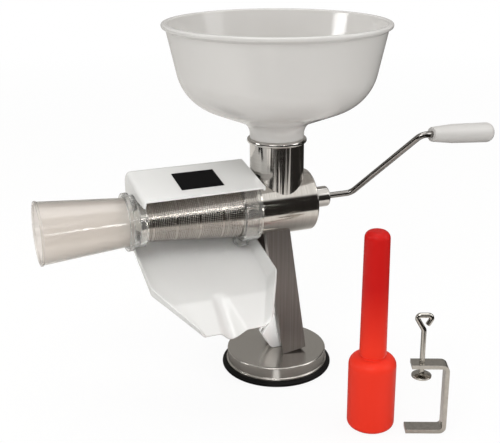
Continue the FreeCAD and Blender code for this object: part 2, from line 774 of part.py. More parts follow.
def crank_rod():
    body = new_body("crank_bar", keep=False)
    place(body, z=s.axis_height, turn_axis=Vector(1, 0, 0), turn=s.crank_phase)
    start = boss_end - s.end_play - s.rod_depth
    corner_x, corner_z = crank_corner()
    low = s.crank_bend * tangent(s.crank_slant / 2.0)
    high = s.crank_bend * tangent((s.crank_slant + s.grip_tilt) / 2.0)
    rod_end = s.grip_start + s.grip_length - s.grip_end_wall
    path = draw(body, "path", "XZ_Plane", [
        (start, 0.0),
        (s.crank_reach - low, 0.0),
        (s.crank_reach + low * cosine(s.crank_slant), low * sine(s.crank_slant),
         s.crank_bend, "left"),
        (corner_x - high * cosine(s.crank_slant), corner_z - high * sine(s.crank_slant)),
        (corner_x + high * cosine(s.grip_tilt), corner_z - high * sine(s.grip_tilt),
         s.crank_bend, "right"),
        (corner_x + rod_end * cosine(s.grip_tilt), corner_z - rod_end * sine(s.grip_tilt)),
    ], closed=False)
    ring = draw_circle(body, "ring", "YZ_Plane", 0.0, 0.0, s.rod_radius)
    shift(ring, start)
    swept(body, ring, path)
    hole = cylinder("rod_pin_hole", s.cross_pin_radius, s.rod_radius * 4.0)
    place(hole, x=start + s.rod_depth / 2.0, z=s.axis_height - s.rod_radius * 2.0)
    minus("crank_rod", body, hole)


def on_grip_line(body, name, outline):
    """Revolve an outline about the grip's own line, measured from the second bend."""
    place(body, z=s.axis_height, turn_axis=Vector(1, 0, 0), turn=s.crank_phase)
    solid = turned(body, name, outline, "X")
    sketch = solid.Profile[0]
    corner_x, corner_z = crank_corner()
    sketch.AttachmentOffset = Placement(Vector(), Rotation(Vector(0, 0, 1), -s.grip_tilt.value))
    bind(sketch, "AttachmentOffset.Rotation.Angle", -s.grip_tilt)
    bind(sketch, "AttachmentOffset.Base.x", corner_x)
    bind(sketch, "AttachmentOffset.Base.y", corner_z)


def crank_grip():
    end = s.grip_start + s.grip_length
    rod_end = end - s.grip_end_wall
    bore = s.rod_radius + s.running_gap
    chamber = s.clip_radius + s.fit_gap
    chamber_start = rod_end - s.clip_width - s.fit_gap * 2.0
    body = new_body("crank_grip")
    on_grip_line(body, "grip", [
        (s.grip_start, bore),
        (chamber_start, bore),
        (chamber_start, chamber),
        (rod_end + s.fit_gap, chamber),
        (rod_end + s.fit_gap, 0.0),
        (end, 0.0),
        (end, s.grip_belly - s.grip_round),
        (end - s.grip_round, s.grip_belly, s.grip_round, "left"),
        (s.grip_start + s.grip_length / 3.0, s.grip_waist),
        (s.grip_start, s.grip_neck),
    ])
    clip = new_body("grip_clip")
    on_grip_line(clip, "clip", [
        (rod_end - s.clip_width - s.fit_gap, s.rod_radius),
        (rod_end - s.fit_gap, s.rod_radius),
        (rod_end - s.fit_gap, s.clip_radius),
        (rod_end - s.clip_width - s.fit_gap, s.clip_radius),
    ])


def strainer():
    body = new_body("strainer_screen")
    place(body, z=s.axis_height)
    root_inner = s.screen_root_radius - s.screen_sheet
    end_inner = s.screen_end_radius - s.screen_sheet
    turned(body, "sheet", [
        (tip_end, end_inner),
        (cone_end, end_inner),
        (cone_start, root_inner),
        (screen_end, root_inner),
        (screen_end, s.screen_root_radius),
        (cone_start, s.screen_root_radius),
        (cone_end, s.screen_end_radius),
        (tip_end, s.screen_end_radius),
    ], "X")
    ring_about_axis("screen_hoop", screen_end - s.hoop_width, screen_end,
                    s.screen_root_radius, s.screen_root_radius + s.hoop_sheet)
    ring_about_axis("outlet_hoop", tip_end, tip_end + s.tip_hoop_width,
                    s.screen_end_radius, s.screen_end_radius + s.tip_hoop_sheet)


collar_bore = s.barrel_radius + s.fit_gap
collar_outer = collar_bore + s.collar_wall
collar_left = screen_end - s.hoop_width - s.fit_gap - s.collar_lip
collar_right = -s.throat_radius - s.collar_clear
stud_x = (collar_right - s.barrel_half) / 2.0


def stud_line(name, radius, half):
    """A rod across the body tube, along the line of the locking studs."""
    rod = cylinder(name, radius, half * 2.0)
    place(rod, x=stud_x, y=half * cosine(s.stud_angle),
          z=s.axis_height + half * sine(s.stud_angle),
          turn_axis=Vector(1, 0, 0), turn=s.stud_angle + 90.0)
    return rod


def collar():
    blank = new_body("collar_blank", keep=False)
    place(blank, z=s.axis_height)
    lip_bore = s.screen_root_radius + s.fit_gap
    hoop_bore = s.screen_root_radius + s.hoop_sheet + s.fit_gap
    lip_end = collar_left + s.collar_lip
    turned(blank, "collar", [
        (collar_left, lip_bore),
        (lip_end, lip_bore),
        (lip_end, hoop_bore),
        (screen_end, hoop_bore),
        (screen_end, collar_bore),
        (collar_right, collar_bore),
        (collar_right, collar_outer),
        (collar_left, collar_outer),
    ], "X")
    tab_top = -collar_bore - s.collar_wall / 2.0
    tab_bottom = -collar_outer - s.tab_drop
    tab = draw(blank, "tab", "YZ_Plane", [
        (-s.tab_half, tab_top),
        (s.tab_taper - s.tab_half, tab_bottom),
        (s.tab_half - s.tab_taper, tab_bottom),
        (s.tab_half, tab_top),
    ])
    shift(tab, collar_left)
    padded(blank, tab, s.hoop_width)
    holes = stud_line("stud_holes", s.stud_radius + s.seat_gap, collar_outer * 2.0)
    minus("clear_collar", blank, holes)


def locking_studs():
    rod = stud_line("stud_rod", s.stud_radius, s.barrel_radius + s.stud_rise)
    core = cylinder("stud_core", s.barrel_radius, s.barrel_half * 2.0)
    place(core, x=-s.barrel_half, z=s.axis_height, turn_axis=Vector(0, 1, 0), turn=90.0)
    minus("locking_studs", rod, core)


ring_right = tip_end + s.ring_lap
ring_left = ring_right - s.ring_length
ring_bore = s.screen_end_radius + s.tip_hoop_sheet + s.fit_gap
ring_outer = ring_bore + s.ring_wall


def outlet_ring():
    body = new_body("outlet_ring")
    place(body, z=s.axis_height)
    seat_bore = s.funnel_radius + s.seat_gap
    stop_bore = s.screen_end_radius - s.screen_sheet
    stop_left = ring_left + s.funnel_lap + s.seat_gap
    stop_right = tip_end - s.fit_gap
    flange = ring_outer + s.ring_flange
    flange_right = ring_left + s.ring_flange_width
    turned(body, "ring", [
        (ring_left, seat_bore),
        (stop_left, seat_bore),
        (stop_left, stop_bore),
        (stop_right, stop_bore),
        (stop_right, ring_bore),
        (ring_right, ring_bore),
        (ring_right, ring_outer),
        (flange_right, ring_outer),
        (flange_right, flange),
        (ring_left, flange),
    ], "X")


def pulp_funnel():
    body = new_body("pulp_funnel")
    place(body, z=s.axis_height)
    right = ring_left + s.funnel_lap
    left = right - s.funnel_length
    lip_right = left + s.funnel_lip_width
    mouth = s.funnel_mouth - s.funnel_lip
    turned(body, "funnel", [
        (right, s.funnel_radius - s.funnel_wall),
        (right, s.funnel_radius),
        (ring_left, s.funnel_radius),
        (lip_right, mouth),
        (lip_right, s.funnel_mouth),
        (left, s.funnel_mouth),
        (left, mouth - s.funnel_wall),
        (ring_left, s.funnel_radius - s.funnel_wall),
    ], "X")


guard_right = -s.throat_radius - s.guard_clear
guard_inside = s.guard_back - s.guard_sheet
bend_z = s.axis_height - s.bend_drop
floor_back = bend_z + (guard_inside - s.bend_y) * tangent(s.upper_tilt)


def roof_at(y):
    """Height of the roof's outer face at a place from front to back."""
    return s.axis_height + s.roof_rise + y * tangent(s.roof_tilt)


def cross_cut(body, name, outline, right, length):
    """Remove an outline drawn front to back, from the right for a length to the left."""
    sketch = draw(body, name, "YZ_Plane", outline)
    shift(sketch, right)
    cut_out(body, sketch, length)


def splash_guard():
    body = new_body("splash_guard")
    sheet = s.guard_sheet
    length = guard_right - s.guard_left
    corner = roof_at(s.guard_back)
    run = s.roof_bend * tangent((s.roof_tilt + 90.0) / 2.0)
    over = sine(s.roof_tilt)
    along = cosine(s.roof_tilt)
    bend_start = (s.guard_back - run * along, corner - run * over)
    foot = floor_back - s.chute_sheet
    left_tooth = s.axis_height + s.tooth_left
    right_tooth = s.axis_height + s.tooth_right
    block = draw(body, "block", "YZ_Plane", [
        (s.guard_front, roof_at(s.guard_front)),
        bend_start,
        (s.guard_back, corner - run, s.roof_bend, "right"),
        (s.guard_back, foot),
        (s.guard_foot, foot),
        (s.guard_foot, s.axis_height),
        (0.0, s.axis_height),
        (0.0, left_tooth),
        (s.guard_front, left_tooth),
    ])
    shift(block, s.guard_left)
    padded(body, block, length)
    round_roof_edge(body)
    outside = s.guard_front - sheet
    below = foot - sheet
    cross_cut(body, "hollow", [
        (outside, roof_at(outside) - sheet / along),
        (bend_start[0] + sheet * over, bend_start[1] - sheet * along),
        (guard_inside, corner - run, s.roof_bend - sheet, "right"),
        (guard_inside, below),
        (outside, below),
    ], guard_right - sheet, length - sheet * 2.0)
    end_foot = floor_back + s.back_rim + s.seat_gap
    cross_cut(body, "underside", [
        (0.0, below),
        (guard_inside, below),
        (guard_inside, end_foot),
        (0.0, end_foot),
    ], guard_right, length)
    cross_cut(body, "right_tooth", [
        (outside, s.axis_height),
        (0.0, s.axis_height),
        (0.0, right_tooth),
        (outside, right_tooth),
    ], guard_right, sheet)
    for name, right, ring in (("left", s.guard_left + sheet, ring_outer),
                              ("right", guard_right, collar_outer)):
        notch = draw_circle(body, name + "_notch", "YZ_Plane", 0.0, s.axis_height, ring + s.seat_gap)
        shift(notch, right)
        cut_out(body, notch, sheet)


def round_roof_edge(body):
    """Round the roof's edge above the outlet, and the bend that it runs into."""
    doc.recompute()
    solid = body.Tip
    names = []
    for index, edge in enumerate(solid.Shape.Edges, start=1):
        middle = edge.CenterOfMass
        on_end = abs(middle.x - s.guard_left.value) < 0.01
        on_roof = abs(middle.z - roof_at(as_size(middle.y)).value) < 0.01
        if on_end and on_roof:
            names.append(f"Edge{index}")
    rounding = body.newObject("PartDesign::Fillet", "guard_edge")
    rounding.Base = (solid, names)
    bind(rounding, "Radius", s.roof_edge)


def chute_section(body, name, spot, lean, edges, groove, rim, sheet):
    """One cross-section of the chute: side walls, floor and spout groove."""
    left, right, flare_left, flare_right = edges
    middle, half, depth = groove
    foot = s.spout_floor_half
    sketch = draw(body, name, "XY_Plane", [
        (left - flare_left, rim),
        (left, 0.0),
        (middle - half, 0.0),
        (middle - foot, 0.0 - depth),
        (middle + foot, 0.0 - depth),
        (middle + half, 0.0),
        (right, 0.0),
        (right + flare_right, rim),
        (right + flare_right + sheet, rim),
        (right + sheet, -sheet),
        (middle + half, -sheet),
        (middle + foot, -sheet - depth),
        (middle - foot, -sheet - depth),
        (middle - half, -sheet),
        (left - sheet, -sheet),
        (left - flare_left - sheet, rim),
    ])
    sketch.AttachmentOffset = Placement(Vector(), Rotation(Vector(1, 0, 0), 90.0))
    bind(sketch, "AttachmentOffset.Rotation.Angle", lean + 90.0)
    bind(sketch, "AttachmentOffset.Base.y", spot[0])
    bind(sketch, "AttachmentOffset.Base.z", spot[1])
    return sketch


def juice_chute():
    body = new_body("juice_chute")
    leg_edge = s.leg_foot - (floor_back + s.back_rim - s.disc_top) * tangent(s.leg_tilt)
    back_flare = leg_edge - s.leg_clear - s.chute_sheet - s.floor_right
    behind = (s.floor_left, s.floor_right, s.flare_left, back_flare)
    floor = (s.floor_left, s.floor_right, s.flare_left, s.flare_right)
    crease = (s.crease_left, s.crease_right, s.flare_left, s.flare_right)
    lip = (s.lip_left, s.lip_right, s.lip_flare_left, s.lip_flare_right)
    plain = (s.spout_top, s.spout_top_half, 0.0)
    crease_y = s.bend_y - s.apron_run * cosine(s.upper_tilt)
    crease_z = bend_z - s.apron_run * sine(s.upper_tilt)
    lip_y = crease_y - s.lower_run * cosine(s.lower_tilt)
    lip_z = crease_z - s.lower_run * sine(s.lower_tilt)
    fold = cosine((s.lower_tilt - s.upper_tilt) / 2.0)
    back = chute_section(body, "back", (guard_inside, floor_back), as_size(0.0), behind, plain,
                         s.back_rim, s.chute_sheet)
    bend = chute_section(body, "bend", (s.bend_y, bend_z), s.upper_tilt, floor, plain,
                         s.chute_rim, s.chute_sheet)
    step = chute_section(body, "step", (crease_y, crease_z), (s.upper_tilt + s.lower_tilt) / 2.0,
                         crease, (s.spout_top, s.spout_top_half, s.spout_top_depth),
                         s.crease_rim, s.chute_sheet / fold)
    mouth = chute_section(body, "mouth", (lip_y, lip_z), s.lip_tilt, lip,
                          (s.spout_end, s.spout_half, s.spout_depth),
                          s.chute_lip_rim, s.chute_sheet / cosine(s.lower_tilt - s.lip_tilt))
    skin = body.newObject("PartDesign::AdditiveLoft", "chute_skin")
    skin.Profile = back
    skin.Sections = [bend, step, mouth]
    skin.Ruled = True


def roof_plate():
    plate = doc.addObject("Part::Box", "roof_plate")
    plate.Label = "roof_plate"
    bind(plate, "Length", s.plate_length)
    bind(plate, "Width", s.plate_width)
    bind(plate, "Height", s.plate_sheet)
    place(plate, x=s.plate_x, y=s.plate_y, z=roof_at(s.plate_y),
          turn_axis=Vector(1, 0, 0), turn=s.roof_tilt)
    pieces.append(plate)


def hopper():
    body = new_body("hopper")
    place(body, z=s.axis_height + s.throat_height)
    wall = s.hopper_wall
    spigot = throat_inner - s.spigot_gap
    rise = sine(s.bowl_floor_tilt)
    run = cosine(s.bowl_floor_tilt)

    def flare_end(radius):
        return s.neck_radius + s.flare_bend - radius * rise, s.neck_rise + radius * run

    flare_x, flare_z = flare_end(s.flare_bend)
    floor_z = flare_z + (s.bowl_floor_radius - flare_x) * tangent(s.bowl_floor_tilt)
    centre_x = s.bowl_floor_radius - s.bowl_bend * rise
    centre_z = floor_z + s.bowl_bend * run

    def floor_end(radius):
        return centre_x + radius * rise, centre_z - radius * run

    def wall_foot(radius):
        return centre_x + radius * cosine(s.bowl_wall_tilt), centre_z - radius * sine(s.bowl_wall_tilt)

    def wall_at(radius, height):
        foot_x, foot_z = wall_foot(radius)
        return foot_x + (height - foot_z) * tangent(s.bowl_wall_tilt), height

    inner_bend = s.bowl_bend - wall
    inner_flare = s.flare_bend + wall
    bead_foot = s.bowl_height - s.rim_bead
    bead_wall = wall_at(s.bowl_bend, bead_foot)
    rim_radius = bead_wall[0] + s.rim_out
    turned(body, "bowl", [
        (spigot - wall, -s.spigot_length),
        (spigot, -s.spigot_length),
        (spigot, 0.0),
        (s.neck_radius, 0.0),
        (s.neck_radius, s.neck_rise),
        (flare_x, flare_z, s.flare_bend, "right"),
        (s.bowl_floor_radius, floor_z),
        wall_foot(s.bowl_bend) + (s.bowl_bend, "left"),
        bead_wall,
        (rim_radius - s.rim_round / 2.0, bead_foot + s.rim_under),
        (rim_radius, s.bowl_height - s.rim_round),
        (rim_radius - s.rim_round, s.bowl_height, s.rim_round, "left"),
        wall_at(inner_bend, s.bowl_height),
        wall_foot(inner_bend),
        floor_end(inner_bend) + (inner_bend, "right"),
        flare_end(inner_flare),
        (s.neck_radius - wall, s.neck_rise, inner_flare, "left"),
        (spigot - wall, 0.0),
    ], "Z")


def pusher():
    body = new_body("pusher")
    place(body, x=s.pusher_x, y=s.pusher_y)
    waist = s.shaft_radius - s.shaft_groove
    waist_top = s.pusher_head + s.shaft_groove * 2.0
    turned(body, "pusher", [
        (0.0, 0.0),
        (s.pusher_radius - s.pusher_edge, 0.0),
        (s.pusher_radius, s.pusher_edge, s.pusher_edge, "left"),
        (s.pusher_radius, s.pusher_head - s.pusher_shoulder),
        (s.pusher_radius - s.pusher_shoulder, s.pusher_head, s.pusher_shoulder, "left"),
        (waist, s.pusher_head),
        (waist, waist_top),
        (s.shaft_radius, waist_top),
        (s.shaft_tip_radius, s.pusher_length - s.shaft_tip_edge),
        (s.shaft_tip_radius - s.shaft_tip_edge, s.pusher_length, s.shaft_tip_edge, "left"),
        (0.0, s.pusher_length),
    ], "Z")


def at_clamp(body):
    """Put a piece of the clamp where the clamp stands, turned with it."""
    place(body, x=s.clamp_x, y=s.clamp_y, turn_axis=Vector(0, 0, 1), turn=s.clamp_angle)


def clamp_frame():
    body = new_body("clamp_frame")
    at_clamp(body)
    strip = s.clamp_strip
    inner = s.clamp_bend - strip
    top = s.clamp_height
    side = draw(body, "side", "XZ_Plane", [
        (-s.clamp_jaw, 0.0),
        (-s.clamp_bend, 0.0),
        (0.0, s.clamp_bend, s.clamp_bend, "left"),
        (0.0, top - s.clamp_bend),
        (-s.clamp_bend, top, s.clamp_bend, "left"),
        (-s.clamp_arm, top),
        (-s.clamp_arm, top - strip),
        (-s.clamp_bend, top - strip),
        (-strip, top - s.clamp_bend, inner, "right"),
        (-strip, s.clamp_bend),
        (-s.clamp_bend, strip, inner, "right"),
        (-s.clamp_jaw, strip),
    ])
    padded(body, side, s.clamp_width, both_ways=True)
    hole = draw_circle(body, "hole", "XY_Plane", -s.screw_inset, 0.0, s.screw_radius + s.screw_gap)
    shift(hole, top)
    cut_out(body, hole, strip * 2.0)


screw_foot = s.clamp_height - s.clamp_strip - s.screw_below


def clamp_screw():
    body = new_body("clamp_screw")
    at_clamp(body)
    line = -s.screw_inset
    neck = s.clamp_height + s.screw_above
    half_side = s.loop_side / 2.0
    corner_angle = as_size(60.0)
    spread = corner_angle / 2.0
    loop_top = neck + s.loop_side * cosine(spread)
    bend = s.loop_bend
    neck_run = bend * tangent(spread / 2.0)
    corner_run = bend * tangent(corner_angle)
    free = s.loop_side - s.loop_gap

    def up_left(distance):
        return line - distance * sine(spread), neck + distance * cosine(spread)

    def down_left(distance):
        return line + half_side - distance * sine(spread), loop_top - distance * cosine(spread)

    path = draw(body, "path", "XZ_Plane", [
        (line, screw_foot),
        (line, neck - neck_run),
        up_left(neck_run) + (bend, "left"),
        up_left(s.loop_side - corner_run),
        (line - half_side + corner_run, loop_top, bend, "right"),
        (line + half_side - corner_run, loop_top),
        down_left(corner_run) + (bend, "right"),
        down_left(free),
    ], closed=False)
    ring = draw_circle(body, "ring", "XY_Plane", line, 0.0, s.screw_radius)
    shift(ring, screw_foot)
    swept(body, ring, path)


def clamp_pad():
    body = new_body("clamp_pad")
    at_clamp(body)
    top = screw_foot + s.pad_socket
    bore = s.screw_radius + s.running_gap
    solid = turned(body, "pad", [
        (0.0, top - s.pad_thickness),
        (s.pad_radius, top - s.pad_thickness),
        (s.pad_radius, top - s.pad_thickness / 2.0),
        (s.pad_radius / 2.0, top),
        (bore, top),
        (bore, screw_foot),
        (0.0, screw_foot),
    ], "Z")
    bind(solid.Profile[0], "AttachmentOffset.Base.x", -s.screw_inset)


def build_all():
    suction_cup()
    base_disc()
    suction_stem()
    suction_lever()
    lever_pin()
    leg()
    body_tube()
    throat()
    rear_end()
    auger()
    drive_pin()
    crank_rod()
    crank_grip()
    strainer()
    collar()
    locking_studs()
    outlet_ring()
    pulp_funnel()
    splash_guard()
    juice_chute()
    roof_plate()
    hopper()
    pusher()
    clamp_frame()
    clamp_screw()
    clamp_pad()


build_all()
doc.recompute()
for thing in doc.Objects:
    if "Invalid" in thing.State or "Error" in thing.State:
        raise RuntimeError(f"{thing.Name} failed: {thing.State}")
os.makedirs("parts", exist_ok=True)
for piece in pieces:
    shape = piece.Shape
    if shape.isNull() or not shape.isValid():
        raise RuntimeError(f"{piece.Label} has no valid shape")
    shape.exportStep(f"parts/{piece.Label}.step")
    box = shape.BoundBox
    print(f"{piece.Label:18s} volume {shape.Volume:10.1f} solids {len(shape.Solids)} "
          f"X {box.XMin:7.1f} {box.XMax:7.1f} Y {box.YMin:7.1f} {box.YMax:7.1f} "
          f"Z {box.ZMin:6.1f} {box.ZMax:6.1f}")
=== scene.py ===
import json
import math

import bmesh
import bpy
from mathutils import Matrix, Quaternion, Vector

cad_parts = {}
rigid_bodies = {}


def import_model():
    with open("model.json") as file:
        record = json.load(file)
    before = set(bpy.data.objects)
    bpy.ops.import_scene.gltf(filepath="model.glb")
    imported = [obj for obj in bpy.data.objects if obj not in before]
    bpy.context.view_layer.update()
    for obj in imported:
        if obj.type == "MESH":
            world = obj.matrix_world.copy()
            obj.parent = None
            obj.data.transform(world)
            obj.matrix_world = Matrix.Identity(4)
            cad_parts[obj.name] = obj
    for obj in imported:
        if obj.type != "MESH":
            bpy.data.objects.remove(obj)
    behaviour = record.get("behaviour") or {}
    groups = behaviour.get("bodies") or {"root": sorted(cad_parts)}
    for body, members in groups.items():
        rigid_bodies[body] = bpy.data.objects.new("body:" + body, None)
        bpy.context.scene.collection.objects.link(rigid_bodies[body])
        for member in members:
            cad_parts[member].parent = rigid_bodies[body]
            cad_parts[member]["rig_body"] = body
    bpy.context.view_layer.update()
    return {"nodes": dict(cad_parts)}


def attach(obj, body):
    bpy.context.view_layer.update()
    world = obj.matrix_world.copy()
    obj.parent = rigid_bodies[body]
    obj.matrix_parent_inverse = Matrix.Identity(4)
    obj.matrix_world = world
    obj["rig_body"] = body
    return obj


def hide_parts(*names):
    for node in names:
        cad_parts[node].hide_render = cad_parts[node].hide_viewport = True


# Hand-cranked food mill: a hopper over an auger that turns in a conical strainer.
# The pieces are measured in millimetres and turned into metres when a mesh is made. Angles are in
# degrees. The stage at the end of the file is measured in metres.

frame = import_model()

MM = 0.001
AXIS_HEIGHT = 183.0    # the auger's axis above the table
SMOOTH_ANGLE = 32.0    # edges sharper than this stay sharp in the shading
SHARP_ANGLE = 35.0     # edges sharper than this are broken
FLAT_ANGLE = 0.6       # faces of a CAD mesh that meet at less than this become one
JOIN_DISTANCE = 0.002  # points of a made mesh closer than this become one
CAD_JOIN_DISTANCE = 0.004
AT_AXIS = 0.0005       # a radius up to this is a point on the axis
ARC_RUN = 2.5          # the longest straight run in a rounded corner
LONG_RUN = 3.0         # straight runs of an outline longer than this get a point beside each end
SUPPORT_GAP = 0.4


def srgb(red, green, blue):
    """A colour as it is seen on a screen, 0 to 255, as the linear colour that a shader takes."""
    linear = []
    for value in (red, green, blue):
        share = value / 255.0
        linear.append(share / 12.92 if share <= 0.04045 else ((share + 0.055) / 1.055) ** 2.4)
    return (*linear, 1.0)


# Materials

MATERIALS = {}
NOISE_DETAIL = 2.0
NOISE_LOW = 0.3      # most of a noise lies between these two
NOISE_HIGH = 0.7
SLOW_SPOTS = 7.0     # changes of shade in a metre, for plastic
SKIN_GRAIN = 420.0   # grains in a metre, for plastic
SKIN_DEPTH = 0.006
LEG_LEAN = 8.1


class Nodes:
    """A node tree with short calls."""

    def __init__(self, owner):
        owner.use_nodes = True
        self.tree = owner.node_tree

    def add(self, kind, **values):
        """A new node; a value goes to the socket of that name, or else to the setting."""
        made = self.tree.nodes.new(kind)
        for key, value in values.items():
            socket = key.replace("_", " ")
            if socket in made.inputs:
                made.inputs[socket].default_value = value
            else:
                setattr(made, key, value)
        return made

    def join(self, output, target):
        self.tree.links.new(output, target)

    def split(self, vector):
        """The X, Y and Z of a vector."""
        parts = self.add("ShaderNodeSeparateXYZ")
        self.join(vector, parts.inputs["Vector"])
        return parts.outputs["X"], parts.outputs["Y"], parts.outputs["Z"]

    def step(self, value, low, high, first=0.0, last=1.0):
        """From first to last while a value goes from low to high."""
        spread = self.add("ShaderNodeMapRange", From_Min=low, From_Max=high, To_Min=first, To_Max=last)
        self.join(value, spread.inputs["Value"])
        return spread.outputs["Result"]


class Finish(Nodes):
    """A Principled material with the few pattern nodes that a surface needs."""

    def __init__(self, name, rough, **sockets):
        material = bpy.data.materials.new(name)
        super().__init__(material)
        self.shader = self.tree.nodes["Principled BSDF"]
        self.shader.inputs["Roughness"].default_value = rough
        for socket, value in sockets.items():
            self.shader.inputs[socket.replace("_", " ")].default_value = value
        MATERIALS[name] = material

    def place(self, stretch=(1.0, 1.0, 1.0), turn=(0.0, 0.0, 0.0)):
        """Object coordinates, turned and stretched."""
        coordinates = self.add("ShaderNodeTexCoord")
        mapping = self.add("ShaderNodeMapping", Rotation=turn, Scale=stretch)
        self.join(coordinates.outputs["Object"], mapping.inputs["Vector"])
        return mapping.outputs["Vector"]

    def rings(self):
        """Coordinates that are the same all round the Z axis: distance from it, and height."""
        x, y, z = self.split(self.place())
        flat = self.add("ShaderNodeCombineXYZ")
        self.join(x, flat.inputs["X"])
        self.join(y, flat.inputs["Y"])
        length = self.add("ShaderNodeVectorMath", operation="LENGTH")
        self.join(flat.outputs["Vector"], length.inputs[0])
        ring = self.add("ShaderNodeCombineXYZ")
        self.join(length.outputs["Value"], ring.inputs["X"])
        self.join(z, ring.inputs["Z"])
        return ring.outputs["Vector"]

    def noise(self, scale, place=None):
        texture = self.add("ShaderNodeTexNoise", Scale=scale, Detail=NOISE_DETAIL)
        self.join(place if place else self.place(), texture.inputs["Vector"])
        return texture.outputs["Fac"]

    def shades(self, pattern, first, second, low=NOISE_LOW, high=NOISE_HIGH):
        """Colour the surface between two screen colours by a pattern."""
        ramp = self.add("ShaderNodeValToRGB")
        ramp.color_ramp.elements[0].position = low
        ramp.color_ramp.elements[0].color = srgb(*first)
        ramp.color_ramp.elements[1].position = high
        ramp.color_ramp.elements[1].color = srgb(*second)
        self.join(pattern, ramp.inputs["Fac"])
        self.join(ramp.outputs["Color"], self.shader.inputs["Base Color"])

    def gloss(self, pattern, low, high):
        """Vary the roughness by a pattern."""
        self.join(self.step(pattern, NOISE_LOW, NOISE_HIGH, low, high), self.shader.inputs["Roughness"])

    def turned(self):
        """Lay the tiny grooves of the surface round its upright axis."""
        round_axis = self.add("ShaderNodeTangent", direction_type="RADIAL", axis="Z")
        self.join(round_axis.outputs["Tangent"], self.shader.inputs["Tangent"])

    def relief(self, pattern, depth):
        """Raise the surface by a pattern; depth is in millimetres."""
        bump = self.add("ShaderNodeBump", Distance=depth * MM, Strength=1.0)
        self.join(pattern, bump.inputs["Height"])
        self.join(bump.outputs["Normal"], self.shader.inputs["Normal"])


def moulded(name, first, second, rough, grain=SKIN_GRAIN, depth=SKIN_DEPTH, **sockets):
    """Moulded plastic: slow changes of shade and a fine skin."""
    finish = Finish(name, rough, **sockets)
    finish.shades(finish.noise(SLOW_SPOTS), first, second, low=0.2, high=0.8)
    finish.relief(finish.noise(grain), depth)


def metal(name, first, second, low, high, lay, depth, turned=False, **sockets):
    """Metal with fine lines that lie as lay says; low and high are its roughness."""
    finish = Finish(name, low, Metallic=1.0, **sockets)
    if turned:
        finish.turned()
    lines = finish.noise(1.0, lay(finish))
    finish.shades(lines, first, second)
    finish.gloss(lines, low, high)
    finish.relief(lines, depth)


def graded(name, low_shade, high_shade, low, high, rough, **sockets):
    """Moulded plastic whose shade changes between two heights, in metres."""
    finish = Finish(name, rough, **sockets)
    _, _, height = finish.split(finish.place())
    finish.shades(finish.step(height, low, high), low_shade, high_shade, low=0.0, high=1.0)
    finish.relief(finish.noise(SKIN_GRAIN), SKIN_DEPTH)


def round_x(finish):
    """Lines round the X axis."""
    return finish.place(stretch=(700.0, 12.0, 12.0))


def round_z(finish):
    """Lines round an upright axis."""
    return finish.place(stretch=(14.0, 14.0, 520.0))


def down_leg(finish):
    """Lines along the leg."""
    return finish.place(stretch=(560.0, 560.0, 8.0), turn=(0.0, math.radians(-LEG_LEAN), 0.0))


def round_base(finish):
    """Circles round the middle of the base."""
    wide = finish.add("ShaderNodeVectorMath", operation="MULTIPLY")
    wide.inputs[1].default_value = (640.0, 1.0, 640.0)
    finish.join(finish.rings(), wide.inputs[0])
    return wide.outputs["Vector"]


def spots(finish):
    """No lines but even spots."""
    return finish.place(stretch=(260.0, 260.0, 260.0))


moulded("black_rubber", (8, 7, 7), (12, 11, 11), 0.5, grain=900.0, depth=0.03, Specular_IOR_Level=0.15)
metal("spun_steel", (203, 199, 193), (207, 203, 197), 0.25, 0.26, round_base, 0.0005, turned=True,
      Anisotropic=0.75, Anisotropic_Rotation=0.25)
metal("leg_steel", (138, 132, 129), (156, 150, 147), 0.34, 0.42, down_leg, 0.004)
metal("barrel_steel", (206, 202, 196), (220, 216, 210), 0.09, 0.12, round_x, 0.0015)
metal("polished_steel", (206, 203, 199), (218, 215, 211), 0.12, 0.15, round_z, 0.001)
metal("screen_steel", (182, 175, 168), (200, 194, 187), 0.2, 0.28, round_x, 0.004)
metal("rod_steel", (148, 145, 142), (158, 155, 152), 0.1, 0.12, spots, 0.001)
metal("plated_steel", (182, 178, 171), (196, 192, 185), 0.14, 0.18, spots, 0.003)
moulded("cast_lever", (240, 239, 237), (250, 249, 247), 0.36, depth=0.03)
metal("bronze", (150, 106, 58), (186, 140, 86), 0.3, 0.4, round_x, 0.01)
moulded("white_plastic", (229, 229, 227), (233, 233, 231), 0.18)
moulded("hopper_plastic", (212, 210, 207), (216, 214, 211), 0.13)
moulded("grip_plastic", (204, 202, 199), (208, 206, 203), 0.3)
moulded("nylon", (226, 224, 216), (236, 234, 227), 0.4)
moulded("clear_plastic", (249, 249, 247), (252, 252, 250), 0.09, grain=240.0,
        Transmission_Weight=0.94, IOR=1.42)
moulded("frosted_plastic", (239, 232, 225), (243, 238, 232), 0.3, grain=500.0,
        Transmission_Weight=0.85, IOR=1.46, Coat_Weight=0.8, Coat_Roughness=0.07)
moulded("dark_plate", (8, 8, 9), (11, 11, 12), 0.55, grain=700.0, depth=0.01, Specular_IOR_Level=0.06)
graded("red_plastic", (240, 53, 31), (198, 16, 11), 0.085, 0.145, 0.4, Specular_IOR_Level=0.2)


# Making pieces

def shade(mesh, angle):
    """Smooth shading that stops at edges sharper than an angle."""
    for face in mesh.polygons:
        face.use_smooth = True
    mesh.set_sharp_from_angle(angle=math.radians(angle))


def cover(mesh, finish):
    """Give a mesh its material."""
    mesh.materials.clear()
    mesh.materials.append(MATERIALS[finish])


def finish_node(node, finish):
    """Give a CAD node that stays in view its material."""
    cover(frame["nodes"][node].data, finish)


def placed(name, data):
    """A new object of the scene."""
    thing = bpy.data.objects.new(name, data)
    bpy.context.scene.collection.objects.link(thing)
    return thing


def piece(name, mesh, finish, slot, body, *nodes):
    """An object of the scene that stands for CAD nodes and moves with their body."""
    thing = placed(name, mesh)
    cover(mesh, finish)
    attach(thing, body)
    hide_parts(*nodes)
    return thing


